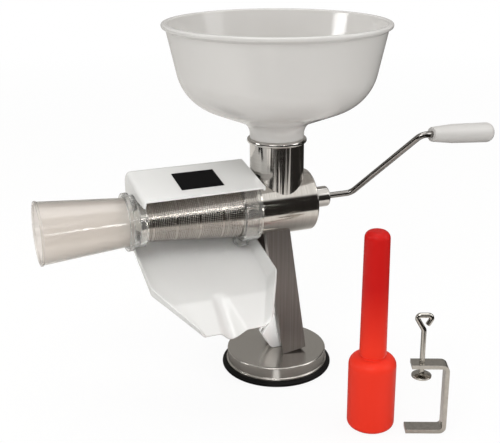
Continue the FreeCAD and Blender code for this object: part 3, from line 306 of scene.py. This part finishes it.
def mesh_of(name, points, faces, smooth=SMOOTH_ANGLE):
    """A mesh from points in millimetres."""
    mesh = bpy.data.meshes.new(name)
    mesh.from_pydata([Vector(point) * MM for point in points], [], faces)
    work = bmesh.new()
    work.from_mesh(mesh)
    bmesh.ops.remove_doubles(work, verts=work.verts, dist=JOIN_DISTANCE * MM)
    bmesh.ops.recalc_face_normals(work, faces=work.faces)
    work.to_mesh(mesh)
    work.free()
    shade(mesh, smooth)
    return mesh


def soft_edges(thing, width, steps=3, angle=SHARP_ANGLE, limit="ANGLE"):
    """Break the sharp edges of a piece, or with the limit WEIGHT those that carry a weight."""
    bevel = thing.modifiers.new("soft_edges", "BEVEL")
    bevel.width = width * MM
    bevel.segments = steps
    bevel.limit_method = limit
    bevel.angle_limit = math.radians(angle)
    bevel.harden_normals = True
    bevel.use_clamp_overlap = True
    bevel.miter_outer = "MITER_ARC"


def dressed(node, finish, slot, edge=0.0):
    """A copy of a CAD node with clean faces, smooth shading and broken edges."""
    name = node + "_look"
    source = frame["nodes"][node]
    work = bmesh.new()
    work.from_mesh(source.data)
    bmesh.ops.remove_doubles(work, verts=work.verts, dist=CAD_JOIN_DISTANCE * MM)
    bmesh.ops.dissolve_limit(work, angle_limit=math.radians(FLAT_ANGLE), verts=work.verts, edges=work.edges)
    bmesh.ops.recalc_face_normals(work, faces=work.faces)
    mesh = bpy.data.meshes.new(name)
    work.to_mesh(mesh)
    work.free()
    shade(mesh, SMOOTH_ANGLE)
    thing = piece(name, mesh, finish, slot, source["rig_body"], node)
    if edge:
        soft_edges(thing, edge)
    return thing


def softened(outline, steps=6):
    """A closed outline with its marked corners rounded: a third number is the radius of a corner."""
    result = []
    count = len(outline)
    for index, corner in enumerate(outline):
        here = Vector(corner[:2])
        if len(corner) == 2:
            result.append(here)
            continue
        radius = corner[2]
        before = (Vector(outline[index - 1][:2]) - here).normalized()
        after = (Vector(outline[(index + 1) % count][:2]) - here).normalized()
        half = before.angle(after) / 2.0
        reach = radius / math.tan(half)
        centre = here + (before + after).normalized() * (radius / math.sin(half))
        first = here + before * reach - centre
        last = here + after * reach - centre
        sweep = first.angle_signed(last)
        parts = max(steps, math.ceil(abs(sweep) * radius / ARC_RUN))
        for step in range(parts + 1):
            turn = Matrix.Rotation(-sweep * step / parts, 2)
            result.append(centre + turn @ first)
    return result


def supported(outline):
    """A closed outline with points beside the ends of its long straight runs, so that these shade straight."""
    result = []
    for here, there in zip(outline, outline[1:] + outline[:1]):
        result.append(here)
        run = there - here
        if run.length > LONG_RUN and max(here[0], there[0]) > AT_AXIS:
            gap = run.normalized() * SUPPORT_GAP
            result.extend((here + gap, there - gap))
    return result


def lathe(name, outline, axis, centre, finish, slot, body, *nodes, turns=128):
    """Turn a closed outline of (radius, distance along) about the Z or X axis through a centre."""
    rings = []
    points = []
    for radius, along in supported(softened(outline)):
        count = turns if radius > AT_AXIS else 1
        ring = []
        for index in range(count):
            angle = math.tau * index / turns
            across = (radius * math.cos(angle), radius * math.sin(angle))
            spot = Vector((*across, along)) if axis == "Z" else Vector((along, *across))
            ring.append(len(points))
            points.append(Vector(centre) + spot)
        rings.append(ring)
    faces = []
    for first, second in zip(rings, rings[1:] + rings[:1]):
        if len(first) == 1 and len(second) == 1:
            continue
        for index in range(turns):
            follow = (index + 1) % turns
            corners = [first[index % len(first)], first[follow % len(first)],
                       second[follow % len(second)], second[index % len(second)]]
            faces.append(list(dict.fromkeys(corners)))
    return piece(name, mesh_of(name, points, faces), finish, slot, body, *nodes)


# Suction base: radii, and heights above the table

BASE_MIDDLE = (0.0, 0.0, 0.0)
CUP_RADIUS = 59.0
CUP_PLUG_RADIUS = 51.3   # the part of the cup that is inside the lid
CUP_PLUG_TOP = 11.0
CUP_WELL_RADIUS = 20.2
CUP_WELL_FLOOR = 3.5
LID_FOOT = 5.0           # where the lid stands on the cup
LID_RADIUS = 53.0
LID_INSIDE_RADIUS = 51.5
LID_FLANGE_RADIUS = 54.2
LID_HOLE_RADIUS = 4.94
LID_UNDERSIDE = 18.1
LID_TOP = 19.6

lathe("cup", [
    (0.0, 0.0), (CUP_RADIUS, 0.0, 2.4), (58.4, 3.6, 1.2), (56.0, LID_FOOT, 0.5), (CUP_PLUG_RADIUS, LID_FOOT),
    (CUP_PLUG_RADIUS, CUP_PLUG_TOP, 0.5), (CUP_WELL_RADIUS, CUP_PLUG_TOP, 0.5),
    (CUP_WELL_RADIUS, CUP_WELL_FLOOR), (0.0, CUP_WELL_FLOOR),
], "Z", BASE_MIDDLE, "black_rubber", "black_rubber", "stand", "suction_cup")
lathe("lid", [
    (LID_HOLE_RADIUS, LID_UNDERSIDE), (LID_INSIDE_RADIUS, LID_UNDERSIDE, 0.6), (LID_INSIDE_RADIUS, LID_FOOT),
    (LID_FLANGE_RADIUS, LID_FOOT, 0.5), (LID_FLANGE_RADIUS, 7.3, 0.9), (LID_RADIUS, 8.1, 0.4),
    (LID_RADIUS, LID_TOP, 1.8), (LID_HOLE_RADIUS, LID_TOP, 0.4),
], "Z", BASE_MIDDLE, "spun_steel", "brushed_steel", "stand", "base_disc")
dressed("suction_stem", "rod_steel", "plated_steel", 0.4)
dressed("lever_pin", "cast_lever", "plated_steel", 0.3)
dressed("leg", "leg_steel", "brushed_steel", 0.7)


def lever():
    """The cam lever: a solid handle above, two cheeks with a slot for the stem below."""
    half_thickness = 6.0
    half_slot = 2.25
    pivot_height = 36.0
    # an outline's places are to the crank side of the pivot, and above it
    crank_side = 6.0
    shoulder = 6.5
    handle_side = -4.0
    handle_top = 56.0
    left = (-15.67, shoulder)
    right = (crank_side, shoulder)
    cheek = [right, (crank_side, -11.0), (4.0, -16.2), (-6.5, -16.2), (-9.8, -13.4), (-18.4, 2.4), left]
    handle = softened([left, (handle_side, 24.0), (handle_side, handle_top, 3.0),
                       (crank_side, handle_top, 3.0), right])
    layers = (-half_thickness, -half_slot, half_slot, half_thickness)
    points = []
    faces = []

    def places(outline, y):
        return [(point[0], y, pivot_height + point[1]) for point in outline]

    def add(corners):
        faces.append(list(range(len(points), len(points) + len(corners))))
        points.extend(corners)

    def side(outline, near, far):
        for first, second in zip(outline, outline[1:]):
            add(places((first, second), near) + places((second, first), far))

    for y in (-half_thickness, half_thickness):
        add(places(cheek + [tuple(point) for point in handle[1:-1]], y))
    for near, far in zip(layers, layers[1:]):
        side(handle, near, far)
        if near == -half_slot:
            side((left, right), near, far)
        else:
            side(cheek, near, far)
    for y in (-half_slot, half_slot):
        add(places(cheek, y))
    thing = piece("lever", mesh_of("lever", points, faces), "cast_lever", "cast_lever",
                  frame["nodes"]["suction_lever"]["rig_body"], "suction_lever")
    soft_edges(thing, 0.8)


lever()

# Body tube, throat and bearing

dressed("body_tube", "barrel_steel", "polished_steel", 0.35)
dressed("feed_throat", "polished_steel", "polished_steel", 0.3)
dressed("rear_plate", "barrel_steel", "polished_steel", 0.2)
dressed("bearing_boss", "polished_steel", "polished_steel", 0.2)
finish_node("shaft_seal", "black_rubber")
finish_node("bearing_bush", "bronze")
finish_node("thrust_washer", "nylon")
finish_node("drive_pin", "rod_steel")
dressed("auger", "nylon", "nylon", 0.5)

# Crank

dressed("crank_rod", "rod_steel", "plated_steel", 0.3)
dressed("crank_grip", "grip_plastic", "white_plastic", 0.8)
finish_node("grip_clip", "rod_steel")


# Strainer: a cone with rows of small holes

SCREEN_SEAT = -32.2
CONE_START = -45.2
CONE_END = -141.2
SCREEN_TIP = -149.2
ROOT_RADIUS = 30.0
TIP_RADIUS = 21.5
SCREEN_SHEET = 0.6
HOLE_COLUMNS = 96
HOLE_ROWS = 54         # with the plain ones
PLAIN_EVERY = 13       # the last of so many rows has no holes
HOLE_SHARE = 0.33      # a hole's radius as a share of its square
HOLE_SIDES = 8
HOLE_FIRST_CORNER = -112.5
HOLE_CORNER_STEP = 45.0


def screen_point(along, turn, depth):
    """A point of the cone: along it from 0 to 1, round it in turns, below its outer face."""
    x = CONE_START + (CONE_END - CONE_START) * along
    radius = ROOT_RADIUS + (TIP_RADIUS - ROOT_RADIUS) * along - depth
    angle = math.tau * turn
    return x, radius * math.sin(angle), AXIS_HEIGHT + radius * math.cos(angle)


def strainer():
    """Squares with an eight-sided hole each, on both faces of the sheet, and a plain band at each end."""
    points = []
    faces = []
    corners = {}

    def corner(row, column, depth):
        key = (row, column % HOLE_COLUMNS, depth)
        if key not in corners:
            corners[key] = len(points)
            points.append(screen_point(row / HOLE_ROWS, key[1] / HOLE_COLUMNS, depth))
        return corners[key]

    for row in range(HOLE_ROWS):
        plain = row % PLAIN_EVERY == PLAIN_EVERY - 1
        for column in range(HOLE_COLUMNS):
            rims = []
            for depth in (0.0, SCREEN_SHEET):
                square = [corner(row, column, depth), corner(row, column + 1, depth),
                          corner(row + 1, column + 1, depth), corner(row + 1, column, depth)]
                if plain:
                    faces.append(square if depth else square[::-1])
                    continue
                rim = []
                for side in range(HOLE_SIDES):
                    angle = math.radians(HOLE_FIRST_CORNER + HOLE_CORNER_STEP * side)
                    along = (row + 0.5 + HOLE_SHARE * math.sin(angle)) / HOLE_ROWS
                    turn = (column + 0.5 + HOLE_SHARE * math.cos(angle)) / HOLE_COLUMNS
                    rim.append(len(points))
                    points.append(screen_point(along, turn, depth))
                rims.append(rim)
                for side in range(4):
                    start = rim[side * 2]
                    end = rim[side * 2 + 1]
                    follow = rim[(side * 2 + 2) % HOLE_SIDES]
                    faces.append([square[side], square[(side + 1) % 4], end, start])
                    faces.append([square[(side + 1) % 4], follow, end])
            if rims:
                outer, inner = rims
                for side in range(HOLE_SIDES):
                    follow = (side + 1) % HOLE_SIDES
                    faces.append([outer[side], outer[follow], inner[follow], inner[side]])
    for row, end, radius in ((0, SCREEN_SEAT, ROOT_RADIUS), (HOLE_ROWS, SCREEN_TIP, TIP_RADIUS)):
        for column in range(HOLE_COLUMNS):
            loop = []
            for depth in (0.0, SCREEN_SHEET):
                for step in (0, 1):
                    angle = math.tau * (column + step) / HOLE_COLUMNS
                    loop.append(len(points))
                    points.append((end, (radius - depth) * math.sin(angle),
                                   AXIS_HEIGHT + (radius - depth) * math.cos(angle)))
            faces.append([corner(row, column, 0.0), corner(row, column + 1, 0.0), loop[1], loop[0]])
            faces.append([corner(row, column, SCREEN_SHEET), corner(row, column + 1, SCREEN_SHEET),
                          loop[3], loop[2]])
            faces.append([loop[0], loop[1], loop[3], loop[2]])
    mesh = mesh_of("strainer_sheet", points, faces, smooth=25.0)
    piece("strainer_sheet", mesh, "screen_steel", "brushed_steel", "stand", "strainer_screen")


strainer()
dressed("screen_hoop", "screen_steel", "polished_steel", 0.3)
dressed("outlet_hoop", "polished_steel", "polished_steel", 0.25)
dressed("locking_studs", "rod_steel", "plated_steel", 0.2)
dressed("clear_collar", "clear_plastic", "clear_plastic", 0.5)
dressed("outlet_ring", "clear_plastic", "clear_plastic", 0.6)

FUNNEL_BORE = 22.5
FUNNEL_NECK = 24.0
FUNNEL_BEAD = 31.0
FUNNEL_START = -155.7
FUNNEL_BEND = -160.2    # where the straight neck ends and the cone begins
FUNNEL_BEAD_START = -241.7
FUNNEL_END = -243.7

lathe("funnel", [
    (FUNNEL_BORE, FUNNEL_START), (FUNNEL_NECK, FUNNEL_START, 0.3), (FUNNEL_NECK, FUNNEL_BEND, 3.0),
    (30.2, FUNNEL_BEAD_START, 0.8), (FUNNEL_BEAD, FUNNEL_BEAD_START, 0.5), (FUNNEL_BEAD, FUNNEL_END, 0.6),
    (28.7, FUNNEL_END, 0.4), (FUNNEL_BORE, FUNNEL_BEND, 3.0),
], "X", (0.0, 0.0, AXIS_HEIGHT), "frosted_plastic", "frosted_plastic", "funnel", "pulp_funnel")


# Splash guard and juice chute

GUARD_LEFT_INSIDE = -148.0
GUARD_RIGHT_INSIDE = -30.3
GUARD_CORNER = 4.0
GUARD_EDGE = 0.7
GUARD_NEAR = 0.1        # an edge this close to a face counts as on it


def guard():
    """The splash guard, with a round inner corner along its left end and broken edges elsewhere."""
    thing = dressed("splash_guard", "white_plastic", "white_plastic")
    work = bmesh.new()
    work.from_mesh(thing.data)
    weights = work.edges.layers.float.new("bevel_weight_edge")
    for edge in work.edges:
        if not edge.is_manifold or edge.calc_face_angle() < math.radians(SHARP_ANGLE):
            continue
        places = [vertex.co.x / MM for vertex in edge.verts]
        if not edge.is_convex and max(abs(place - GUARD_LEFT_INSIDE) for place in places) < GUARD_NEAR:
            edge[weights] = 1.0
        elif max(places) < GUARD_RIGHT_INSIDE - GUARD_NEAR:
            edge[weights] = GUARD_EDGE / GUARD_CORNER
    work.to_mesh(thing.data)
    work.free()
    soft_edges(thing, GUARD_CORNER, steps=5, limit="WEIGHT")


guard()
dressed("roof_plate", "dark_plate", "dark_plate", 0.25)

CHUTE_SHEET = 2.0
CHUTE_CORNER = 2.6
CHUTE_ROWS = 110
CHUTE_BEND = 1.6        # half the stretch over which the floor bends from one slope to the next
LIP_REACH = 5.0         # the walls come down over this last stretch before the lip,
LIP_DROP = 0.45         # by this share of their height
WALL_HEIGHT = 7         # where the wall's height stands in a station
# Each station: front to back, height, lean, left, right, left flare, right flare, wall height,
# then the groove: left edge, lowest place, right edge, depth.
CHUTE = [
    (36.0, 152.35, 0.0, -147.0, -30.0, 0.5, 6.0, 6.0, -94.0, -87.0, -80.0, 0.0),
    (-46.0, 122.5, 20.0, -147.0, -30.0, 0.5, 8.0, 10.0, -94.0, -87.0, -80.0, 0.0),
    (-57.0, 118.49, 25.7, -140.8, -35.2, 0.5, 8.0, 9.35, -95.0, -86.2, -77.0, 0.0),
    (-63.0, 116.3, 28.8, -137.4, -38.1, 0.5, 8.0, 9.0, -95.5, -85.8, -75.0, 3.2),
    (-91.93, 94.04, 20.0, -110.0, -52.0, 2.5, 7.5, 7.5, -96.0, -82.5, -65.5, 9.6),
]


def eased(share):
    """A share from 0 to 1 that starts and ends slowly."""
    share = min(max(share, 0.0), 1.0)
    return share * share * (3.0 - 2.0 * share)


def between(first, second, share):
    """The numbers that lie a share of the way from the first row to the second."""
    return [a + (b - a) * share for a, b in zip(first, second)]


def chute_station(distance, lengths):
    """The chute's section at a distance down its floor."""
    reach = min(max(distance, 0.0), sum(lengths))
    index = 0
    while index < len(lengths) - 1 and reach > lengths[index]:
        reach -= lengths[index]
        index += 1
    return between(CHUTE[index], CHUTE[index + 1], reach / lengths[index])


def corner_arc(corner, before, after, steps):
    """Points of one of the chute's rounded corners in an open outline."""
    outline = [before, (*corner, CHUTE_CORNER), after]
    return [tuple(point) for point in softened(outline, steps)[1:-1]]


def chute_row(section, wall_steps=4, corner_steps=6, floor_steps=84):
    """Points across the chute from the left rim to the right rim."""
    y, z, lean, left, right, flare_left, flare_right, rim, groove_left, low, groove_right, depth = section
    rim_left = (left - flare_left, rim)
    rim_right = (right + flare_right, rim)
    left_arc = corner_arc((left, 0.0), rim_left, (right, 0.0), corner_steps)
    right_arc = corner_arc((right, 0.0), (left, 0.0), rim_right, corner_steps)
    across = [between(rim_left, left_arc[0], step / wall_steps) for step in range(wall_steps)]
    across.extend(left_arc)
    start = left_arc[-1][0]
    end = right_arc[0][0]
    for step in range(1, floor_steps):
        u = start + (end - start) * step / floor_steps
        if u < low:
            share = eased((u - groove_left) / (low - groove_left))
        else:
            share = eased((groove_right - u) / (groove_right - low))
        across.append((u, -depth * share))
    across.extend(right_arc)
    across.extend(between(right_arc[-1], rim_right, (step + 1) / wall_steps) for step in range(wall_steps))
    lean = math.radians(lean)
    return [(u, y - v * math.sin(lean), z + v * math.cos(lean)) for u, v in across]


def chute():
    """The chute's upper face as rows from the back to the lip, given its thickness downwards."""
    lengths = [math.dist(a[:2], b[:2]) for a, b in zip(CHUTE, CHUTE[1:])]
    total = sum(lengths)
    points = []
    width = 0
    for row in range(CHUTE_ROWS + 1):
        distance = total * row / CHUTE_ROWS
        to_lip = total - distance
        room = min(CHUTE_BEND, distance, to_lip)
        sections = [chute_station(distance + room * shift, lengths) for shift in (-1.0, -0.5, 0.0, 0.5, 1.0)]
        section = [sum(values) / len(values) for values in zip(*sections)]
        if to_lip < LIP_REACH:
            section[WALL_HEIGHT] *= 1.0 - LIP_DROP * (1.0 - to_lip / LIP_REACH) ** 2
        line = chute_row(section)
        width = len(line)
        points.extend(line)
    faces = []
    for row in range(CHUTE_ROWS):
        for column in range(width - 1):
            first = row * width + column
            faces.append([first, first + 1, first + 1 + width, first + width])
    mesh = mesh_of("chute", points, faces, smooth=60.0)
    if mesh.polygons[width * CHUTE_ROWS // 2].normal.z < 0.0:
        mesh.flip_normals()
    thing = piece("chute", mesh, "white_plastic", "white_plastic", "stand", "juice_chute")
    sheet = thing.modifiers.new("sheet", "SOLIDIFY")
    sheet.thickness = CHUTE_SHEET * MM
    sheet.offset = -1.0
    sheet.use_even_offset = True
    soft_edges(thing, 0.7, angle=55.0)


chute()


# Hopper: radii, and heights above the throat's rim

HOPPER_SEAT = 253.0     # the throat's rim above the table
FLOOR_SLOPE = 22.1
WALL_LEAN = 12.2
HOPPER_WALL = 2.4
SPIGOT_BORE = 23.2
SPIGOT_RADIUS = 25.6
SPIGOT_END = -26.0
NECK_RADIUS = 27.4
NECK_FLARE = 14.5
FLARE_START = 3.9
BOWL_BEND = 48.5
BEND_RADIUS = 69.5      # where the floor's slope ends and the bend begins
BOWL_TOP = 115.0
RIM_HEIGHT = 6.5


def hopper():
    """The bowl on its neck, from where the straight lines of neck, floor and wall would meet."""
    slope = math.radians(FLOOR_SLOPE)
    rise = math.tan(slope)
    lean = math.tan(math.radians(WALL_LEAN))
    corner_z = FLARE_START + NECK_FLARE * math.tan(math.radians((90.0 - FLOOR_SLOPE) / 2.0))
    bend_z = corner_z + (BEND_RADIUS - NECK_RADIUS) * rise
    reach = BOWL_BEND * math.tan(math.radians((90.0 - WALL_LEAN - FLOOR_SLOPE) / 2.0))
    meet_x = BEND_RADIUS + reach * math.cos(slope)
    meet_z = bend_z + reach * math.sin(slope)
    # inner floor and wall lines, moved in by the wall
    slant = HOPPER_WALL / math.cos(math.radians(WALL_LEAN))
    sink = HOPPER_WALL / math.cos(slope)
    inner_x = NECK_RADIUS - HOPPER_WALL
    inner_corner_z = corner_z + sink - HOPPER_WALL * rise
    floor_base = inner_corner_z - inner_x * rise
    wall_base = meet_x - slant - meet_z * lean
    inner_meet_x = (wall_base + floor_base * lean) / (1.0 - rise * lean)
    inner_meet_z = floor_base + inner_meet_x * rise
    rim_foot = BOWL_TOP - RIM_HEIGHT

    def wall_x(height):
        return meet_x + (height - meet_z) * lean

    lathe("hopper_bowl", [
        (SPIGOT_BORE, SPIGOT_END, 0.5), (SPIGOT_RADIUS, SPIGOT_END, 0.7), (SPIGOT_RADIUS, 0.0),
        (NECK_RADIUS, 0.0, 0.5), (NECK_RADIUS, corner_z, NECK_FLARE), (meet_x, meet_z, BOWL_BEND),
        (wall_x(rim_foot), rim_foot, 1.5), (112.0, rim_foot + 2.6, 1.2), (113.0, BOWL_TOP, 2.0),
        (wall_x(BOWL_TOP) - slant, BOWL_TOP, 1.6), (inner_meet_x, inner_meet_z, BOWL_BEND - HOPPER_WALL),
        (inner_x, inner_corner_z, NECK_FLARE + HOPPER_WALL), (inner_x, 0.0, 1.0), (SPIGOT_BORE, 0.0, 1.0),
    ], "Z", (0.0, 0.0, HOPPER_SEAT), "hopper_plastic", "white_plastic", "bowl", "hopper", turns=192)


hopper()

# Pusher: radii, and heights above the table

PUSHER_PLACE = (35.5, -148.5, 0.0)
HEAD_RADIUS = 22.6
HEAD_TOP = 73.0
NECK_GROOVE = 11.6
HANDLE_FOOT = 75.4
HANDLE_TOP = 198.0

stick = lathe("pusher_stick", [
    (0.0, 0.0), (HEAD_RADIUS, 0.0, 5.0), (HEAD_RADIUS, HEAD_TOP, 9.0), (NECK_GROOVE, HEAD_TOP, 0.6),
    (NECK_GROOVE, HANDLE_FOOT, 0.6), (12.8, HANDLE_FOOT, 0.6), (11.8, HANDLE_TOP, 7.0), (0.0, HANDLE_TOP),
], "Z", PUSHER_PLACE, "red_plastic", "red_plastic", "plunger", "pusher")
stick.visible_glossy = False
stick.visible_transmission = False

# Table clamp

dressed("clamp_frame", "plated_steel", "plated_steel", 0.6)
dressed("clamp_pad", "plated_steel", "plated_steel", 0.4)
dressed("clamp_screw", "plated_steel", "plated_steel", 0.3)


# Stage: floor, light and camera, in metres

FLOOR_REACH = 4000.0    # in millimetres, as the pieces are
WHITE = (1.0, 1.0, 1.0, 1.0)
DARK_ROOM = (0.022, 0.02, 0.018, 1.0)
# What polished metal sees of the floor. Each edge is a pair: nothing at the first number, all at the second.
TABLE_FRONT = (-0.38, -0.33)
TABLE_RIGHT = (0.3, 0.24)
TABLE_LEFT = (-0.95, -0.85)
MILL_SHADOW = (0.0, 0.22)
CARD_LEFT = (-0.46, -0.44)
CARD_RIGHT = (-0.26, -0.28)
CARD_BACK = (-0.5, -0.54)
# a glowing stripe that only shiny pieces see: a painted highlight on the side of the base
GLINT_STRIPE_ACROSS = (0.9205, -0.3907, 0.0)
GLINT_STRIPE_LEFT = (-0.008, -0.004)
GLINT_STRIPE_RIGHT = (0.008, 0.004)
GLINT_STRIPE_BACK = (-0.03, -0.05)
GLINT_STRIPE_FRONT = (-0.14, -0.12)
# What the camera sees of the floor: white, with a little of the shadow near the mill.
SHOWN_GLOW = 0.9
SHOWN_FADE = (0.7, 2.2)
# What polished metal sees of the room, by the direction it looks in.
BACK_WALL = (0.2, 0.7)
CEILING = (0.42, 0.52)
CEILING_END = (0.4, 0.0)


class Stage(Nodes):
    """The node tree of the floor or of the world, made from nothing."""

    def __init__(self, owner):
        super().__init__(owner)
        self.tree.nodes.clear()

    def blend(self, share, first, second):
        mix = self.add("ShaderNodeMixShader")
        self.join(share, mix.inputs["Fac"])
        self.join(first.outputs[0], mix.inputs[1])
        self.join(second.outputs[0], mix.inputs[2])
        return mix

    def pair(self, operation, first, second):
        made = self.add("ShaderNodeMath", operation=operation)
        self.join(first, made.inputs[0])
        self.join(second, made.inputs[1])
        return made.outputs[0]

    def times(self, first, *others):
        for other in others:
            first = self.pair("MULTIPLY", first, other)
        return first

    def larger(self, first, second):
        return self.pair("MAXIMUM", first, second)

    def seen_through(self):
        """1 for the camera's own rays and for those that pass straight through clear plastic."""
        path = self.add("ShaderNodeLightPath")
        straight = self.step(path.outputs["Glossy Depth"], 1.0, 0.0)
        through = self.times(path.outputs["Is Transmission Ray"], straight)
        return self.larger(path.outputs["Is Camera Ray"], through)


def floor():
    reach = FLOOR_REACH
    mesh = mesh_of("floor", [(-reach, -reach, 0), (reach, -reach, 0), (reach, reach, 0), (-reach, reach, 0)],
                   [[0, 1, 2, 3]])
    thing = placed("floor", mesh)
    material = bpy.data.materials.new("floor_white")
    nodes = Stage(material)
    paper = nodes.add("ShaderNodeBsdfDiffuse", Color=(0.58, 0.58, 0.57, 1.0))
    bright = nodes.add("ShaderNodeBsdfDiffuse", Color=(0.8, 0.78, 0.75, 1.0))
    white_paper = nodes.add("ShaderNodeBsdfDiffuse", Color=(0.95, 0.95, 0.94, 1.0))
    glow = nodes.add("ShaderNodeEmission", Color=WHITE)
    dark = nodes.add("ShaderNodeEmission", Color=DARK_ROOM)
    path = nodes.add("ShaderNodeLightPath")
    spot = nodes.add("ShaderNodeNewGeometry").outputs["Position"]
    x, y, _ = nodes.split(spot)
    length = nodes.add("ShaderNodeVectorMath", operation="LENGTH")
    nodes.join(spot, length.inputs[0])
    distance = length.outputs["Value"]
    # polished metal sees a white table that ends, darker under the mill, a card, and a dark room beyond
    table = nodes.times(nodes.step(y, *TABLE_FRONT), nodes.step(x, *TABLE_RIGHT),
                        nodes.step(x, *TABLE_LEFT), nodes.step(distance, *MILL_SHADOW))
    card = nodes.times(nodes.step(x, *CARD_LEFT), nodes.step(x, *CARD_RIGHT), nodes.step(y, *CARD_BACK))
    mirrored = nodes.blend(nodes.larger(table, card), dark, bright)
    # and a glowing stripe on the table right in front of the base, which only shiny pieces see: a painted
    # highlight that puts a bright streak on the side of the base
    across = nodes.add("ShaderNodeVectorMath", operation="DOT_PRODUCT")
    across.inputs[1].default_value = GLINT_STRIPE_ACROSS
    nodes.join(spot, across.inputs[0])
    sideways = across.outputs["Value"]
    glint_stripe = nodes.times(nodes.times(nodes.step(sideways, *GLINT_STRIPE_LEFT), nodes.step(sideways, *GLINT_STRIPE_RIGHT)),
                         nodes.times(nodes.step(y, *GLINT_STRIPE_BACK), nodes.step(y, *GLINT_STRIPE_FRONT)))
    mirrored = nodes.blend(glint_stripe, mirrored, glow)
    plain = nodes.blend(path.outputs["Is Glossy Ray"], paper, mirrored)
    # the camera and clear plastic see white paper that keeps a faint shadow near the mill
    near = nodes.add("ShaderNodeMixShader", Fac=SHOWN_GLOW)
    nodes.join(white_paper.outputs[0], near.inputs[1])
    nodes.join(glow.outputs[0], near.inputs[2])
    shown = nodes.blend(nodes.step(distance, *SHOWN_FADE), near, glow)
    output = nodes.add("ShaderNodeOutputMaterial")
    nodes.join(nodes.blend(nodes.seen_through(), plain, shown).outputs[0], output.inputs["Surface"])
    mesh.materials.append(material)


def world():
    made = bpy.data.worlds.new("studio")
    bpy.context.scene.world = made
    nodes = Stage(made)
    white = nodes.add("ShaderNodeBackground", Color=WHITE, Strength=1.0)
    soft = nodes.add("ShaderNodeBackground", Color=(1.0, 0.99, 0.975, 1.0), Strength=0.58)
    room = nodes.add("ShaderNodeBackground", Color=DARK_ROOM, Strength=1.0)
    back = nodes.add("ShaderNodeBackground", Color=(0.33, 0.32, 0.305, 1.0), Strength=1.0)
    ceiling = nodes.add("ShaderNodeBackground", Color=(0.95, 0.94, 0.92, 1.0), Strength=1.0)
    # polished metal sees a dark room in front, a grey wall behind and a pale ceiling
    coordinates = nodes.add("ShaderNodeTexCoord")
    _, y, z = nodes.split(coordinates.outputs["Generated"])
    walls = nodes.blend(nodes.step(y, *BACK_WALL), room, back)
    above = nodes.times(nodes.step(z, *CEILING), nodes.step(y, *CEILING_END))
    mirrored = nodes.blend(above, walls, ceiling)
    path = nodes.add("ShaderNodeLightPath")
    lit = nodes.blend(path.outputs["Is Glossy Ray"], soft, mirrored)
    output = nodes.add("ShaderNodeOutputWorld")
    nodes.join(nodes.blend(nodes.seen_through(), lit, white).outputs[0], output.inputs["Surface"])


def lamp(name, place, target, size, power, spread=180.0, mirrored=True):
    """A flat lamp; spread is the angle of its beam, mirrored says whether shiny pieces show it."""
    data = bpy.data.lights.new(name, "AREA")
    data.shape = "RECTANGLE"
    data.size, data.size_y = size
    data.energy = power
    data.spread = math.radians(spread)
    thing = placed(name, data)
    thing.location = place
    thing.rotation_euler = (Vector(target) - Vector(place)).to_track_quat("-Z", "Y").to_euler()
    thing.visible_glossy = mirrored


def camera():
    """The camera of the photograph."""
    data = bpy.data.cameras.new("camera")
    thing = placed("camera", data)
    data.sensor_fit = "HORIZONTAL"
    data.sensor_width = 36.0
    data.lens = 64.49
    data.shift_x = -0.026
    data.shift_y = -0.047
    data.clip_start = 0.05
    data.clip_end = 30.0
    thing.location = (-0.3426, -0.8072, 0.4775)
    forward = Vector((0.3569, 0.8799, -0.3138))
    roll = Quaternion((0.0, 0.0, 1.0), math.radians(-0.12))
    thing.rotation_mode = "QUATERNION"
    thing.rotation_quaternion = forward.to_track_quat("-Z", "Y") @ roll
    bpy.context.scene.camera = thing


floor()
world()
middle = (-0.03, -0.03, 0.2)
lamp("key", (-0.9, -1.1, 1.5), middle, (0.9, 0.9), 9.8)
lamp("side", (-1.35, 0.27, 0.68), (0.09, 0.05, 0.357), (0.42, 0.14), 2.4)
lamp("front", (-0.3, -1.3, 0.2), (-0.03, -0.04, 0.1), (0.4, 0.15), 2.2, mirrored=False)
lamp("under", (-0.08, -0.9, 0.24), (-0.08, -0.008, 0.168), (0.14, 0.01), 0.018, spread=4.0, mirrored=False)
lamp("low", (-0.2, -0.9, 0.12), (-0.012, -0.006, 0.062), (0.05, 0.05), 0.005, spread=4.0, mirrored=False)
lamp("fill", (1.3, -0.9, 0.9), middle, (0.7, 1.2), 5.2)
lamp("top", (0.1, 0.3, 1.9), middle, (1.4, 1.4), 10.0)
lamp("strip", (0.08, -1.4, 0.763), (-0.09, -0.03, 0.19), (0.28, 0.1), 0.009, spread=14.0)
lamp("low_strip", (0.3, -1.41, 0.485), (-0.2, -0.03, 0.185), (0.26, 0.05), 0.006, spread=12.0)
camera()
bpy.context.scene.view_settings.view_transform = "Standard"
